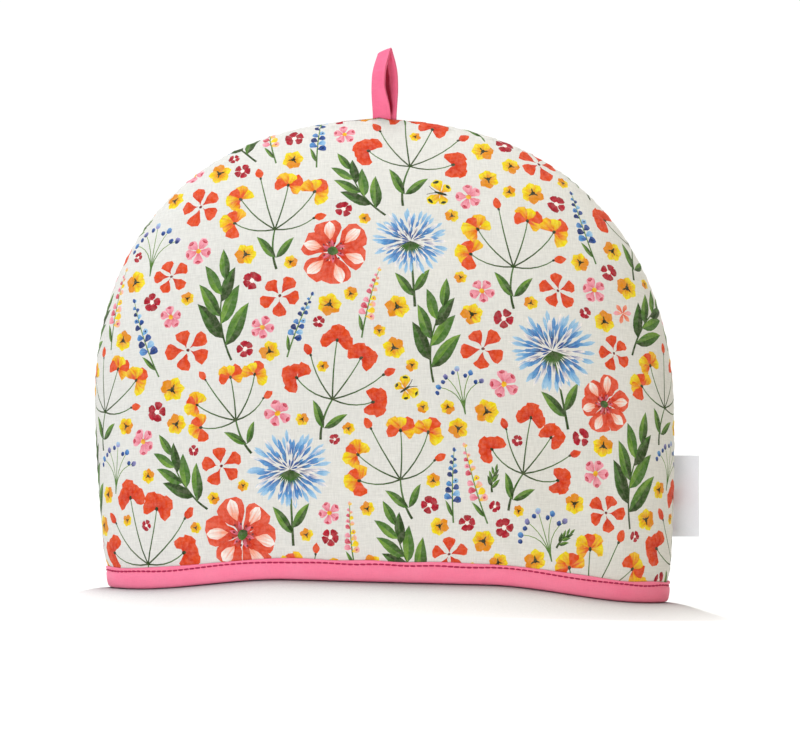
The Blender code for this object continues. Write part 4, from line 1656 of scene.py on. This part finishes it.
# %% [markdown]
# ## The studio
# A bright room: it is white behind the cosy and dimmer behind the camera, so that the cloth keeps
# its shading while the background stays clean. The main soft light stands at the front left, a weak
# warm one fills the right-hand side, and one overhead keeps the floor white. The floor swells up a
# little under the raised hem and falls away outside it, so a camera at table height sees it, and
# its material darkens where the cosy closes off the room's light, as the soft shadow round any
# object does. The camera is far away with a long lens and is turned by the cosy's own small turn.

# %% The floor
FLOOR_DROP, FLOOR_FALLS_OVER, FLOOR_SWELLS_OVER = 9.0, (2, 46), (-4, 42)
HEM_HALF_WIDTH, HEM_HALF_DEPTH = 160, 70


def floor_height(x, y):
    """The floor's height: it swells up under the raised hem and falls away gently outside it."""
    x = x - STANDING_PLACE[0]
    over = (np.abs(x - LEAN_AT_HEM) / HEM_HALF_WIDTH) ** SECTION_POWER
    reach = (over + (np.abs(y) / HEM_HALF_DEPTH) ** SECTION_POWER) ** (1 / SECTION_POWER)
    beyond = np.hypot(x, y) * (1 - 1 / np.maximum(reach, 0.2))
    swell = hem_rise(x) - HEM_SLANT * (HEM_RIGHT_END - x) - 0.2
    fall = FLOOR_DROP * smooth_step(*FLOOR_FALLS_OVER, beyond)
    return swell * (1 - smooth_step(*FLOOR_SWELLS_OVER, beyond)) - fall - 0.1


far = (800, 2000, 6000, 30000)
lines = np.concatenate(([-v for v in far[::-1]], np.arange(-400, 401, 5.0), far))
floor_x, floor_y = np.meshgrid(lines, lines)
count = len(lines)
floor_grids = (floor_x, floor_y, floor_height(floor_x, floor_y))
floor_points = np.column_stack([grid.ravel() for grid in floor_grids])
floor_faces = [
    (n, n + 1, n + count + 1, n + count)
    for n in range(count * (count - 1)) if n % count < count - 1
]
floor_material, floor_tree, floor_shader = new_material(
    "white_floor", Specular_IOR_Level=0.0, Roughness=0.9
)
# Painted contact shadow: the floor's colour goes from white to grey where ambient occlusion finds
# the cosy close by
openness = add_node(floor_tree, "AmbientOcclusion", {"Distance": 0.048}, samples=8).outputs["AO"]
openness = ranged(floor_tree, openness, 0.45, 0.93)
floor_colour = mix_colours(floor_tree, openness, linear("#8E9094"), linear("#F8F8F8"))
floor_tree.links.new(floor_colour, floor_shader.inputs["Base Color"])
floor = new_piece("studio_floor", floor_points, floor_faces, None, (floor_material,))


# %% The bright room
world = bpy.data.worlds.new("white_studio")
bpy.context.scene.world = world
world.use_nodes = True
sky = world.node_tree
way = add_node(sky, "SeparateXYZ", {"Vector": add_node(sky, "TexCoord").outputs["Generated"]})
behind, overhead = (
    ranged(sky, way.outputs[axis], *limits, interpolation_type="SMOOTHSTEP")
    for axis, limits in (("Y", (0.55, 0.96, 0.20, 1.04)), ("Z", (0.25, 0.95, 0.0, 0.1)))
)
sky.links.new(calculate(sky, "ADD", behind, overhead), sky.nodes["Background"].inputs["Strength"])
sky.nodes["Background"].inputs["Color"].default_value = (1, 0.995, 0.985, 1)


# %% Lights and camera
def soft_sun(name, towards, strength, spread, colour=(1.0, 1.0, 1.0)):
    """A distant soft light. It lights all of the floor evenly, so that it stays white."""
    lamp = bpy.data.lights.new(name, "SUN")
    lamp.energy, lamp.angle, lamp.color = strength, math.radians(spread), colour
    put_in_scene(name, lamp).rotation_euler = Vector(towards).to_track_quat("Z", "Y").to_euler()


soft_sun("front_light", (-0.54, -0.82, 0.22), 1.36, 32, (0.985, 0.99, 1.0))
soft_sun("warm_fill", (0.92, -0.38, 0.03), 0.66, 50, (1.0, 0.72, 0.12))
soft_sun("top_light", (-0.10, 0.10, 0.98), 2.45, 30)

VIEW_WIDTH, DISTANCE, SENSOR = 0.464, 5.0, 36
CAMERA_X, CAMERA_HEIGHT = 9.5, 136.6
camera_data = bpy.data.cameras.new("camera")
camera_data.sensor_width = SENSOR
camera_data.lens = SENSOR * DISTANCE / VIEW_WIDTH
camera_data.clip_end = 100
camera = put_in_scene("camera", camera_data)
camera.location = stand((CAMERA_X, -DISTANCE / MM, CAMERA_HEIGHT)) * MM
camera.rotation_euler = (math.pi / 2, -STANDING_TURN, 0)
bpy.context.scene.camera = camera
bpy.context.scene.view_settings.view_transform = "Standard"


# %% [markdown]
# ## What each piece is
# Every piece rides on the part's only body and stands for its solid, so a simulation and a picture
# show the same object.

# %% Attaching the pieces and hiding their solids
for piece, node, slot in (
    (front_panel, "front_panel", "floral_cloth"),
    (back_panel, "back_panel", "floral_cloth"),
    (hem_binding, "hem_binding", "pink_binding"),
    (hanging_loop, "hanging_loop", "pink_tape"),
    (side_tab, "side_tab", "white_tab"),
    (hem_stitching, None, "pink_binding"),
):
    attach(piece, "root")
    if node:
        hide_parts(node)
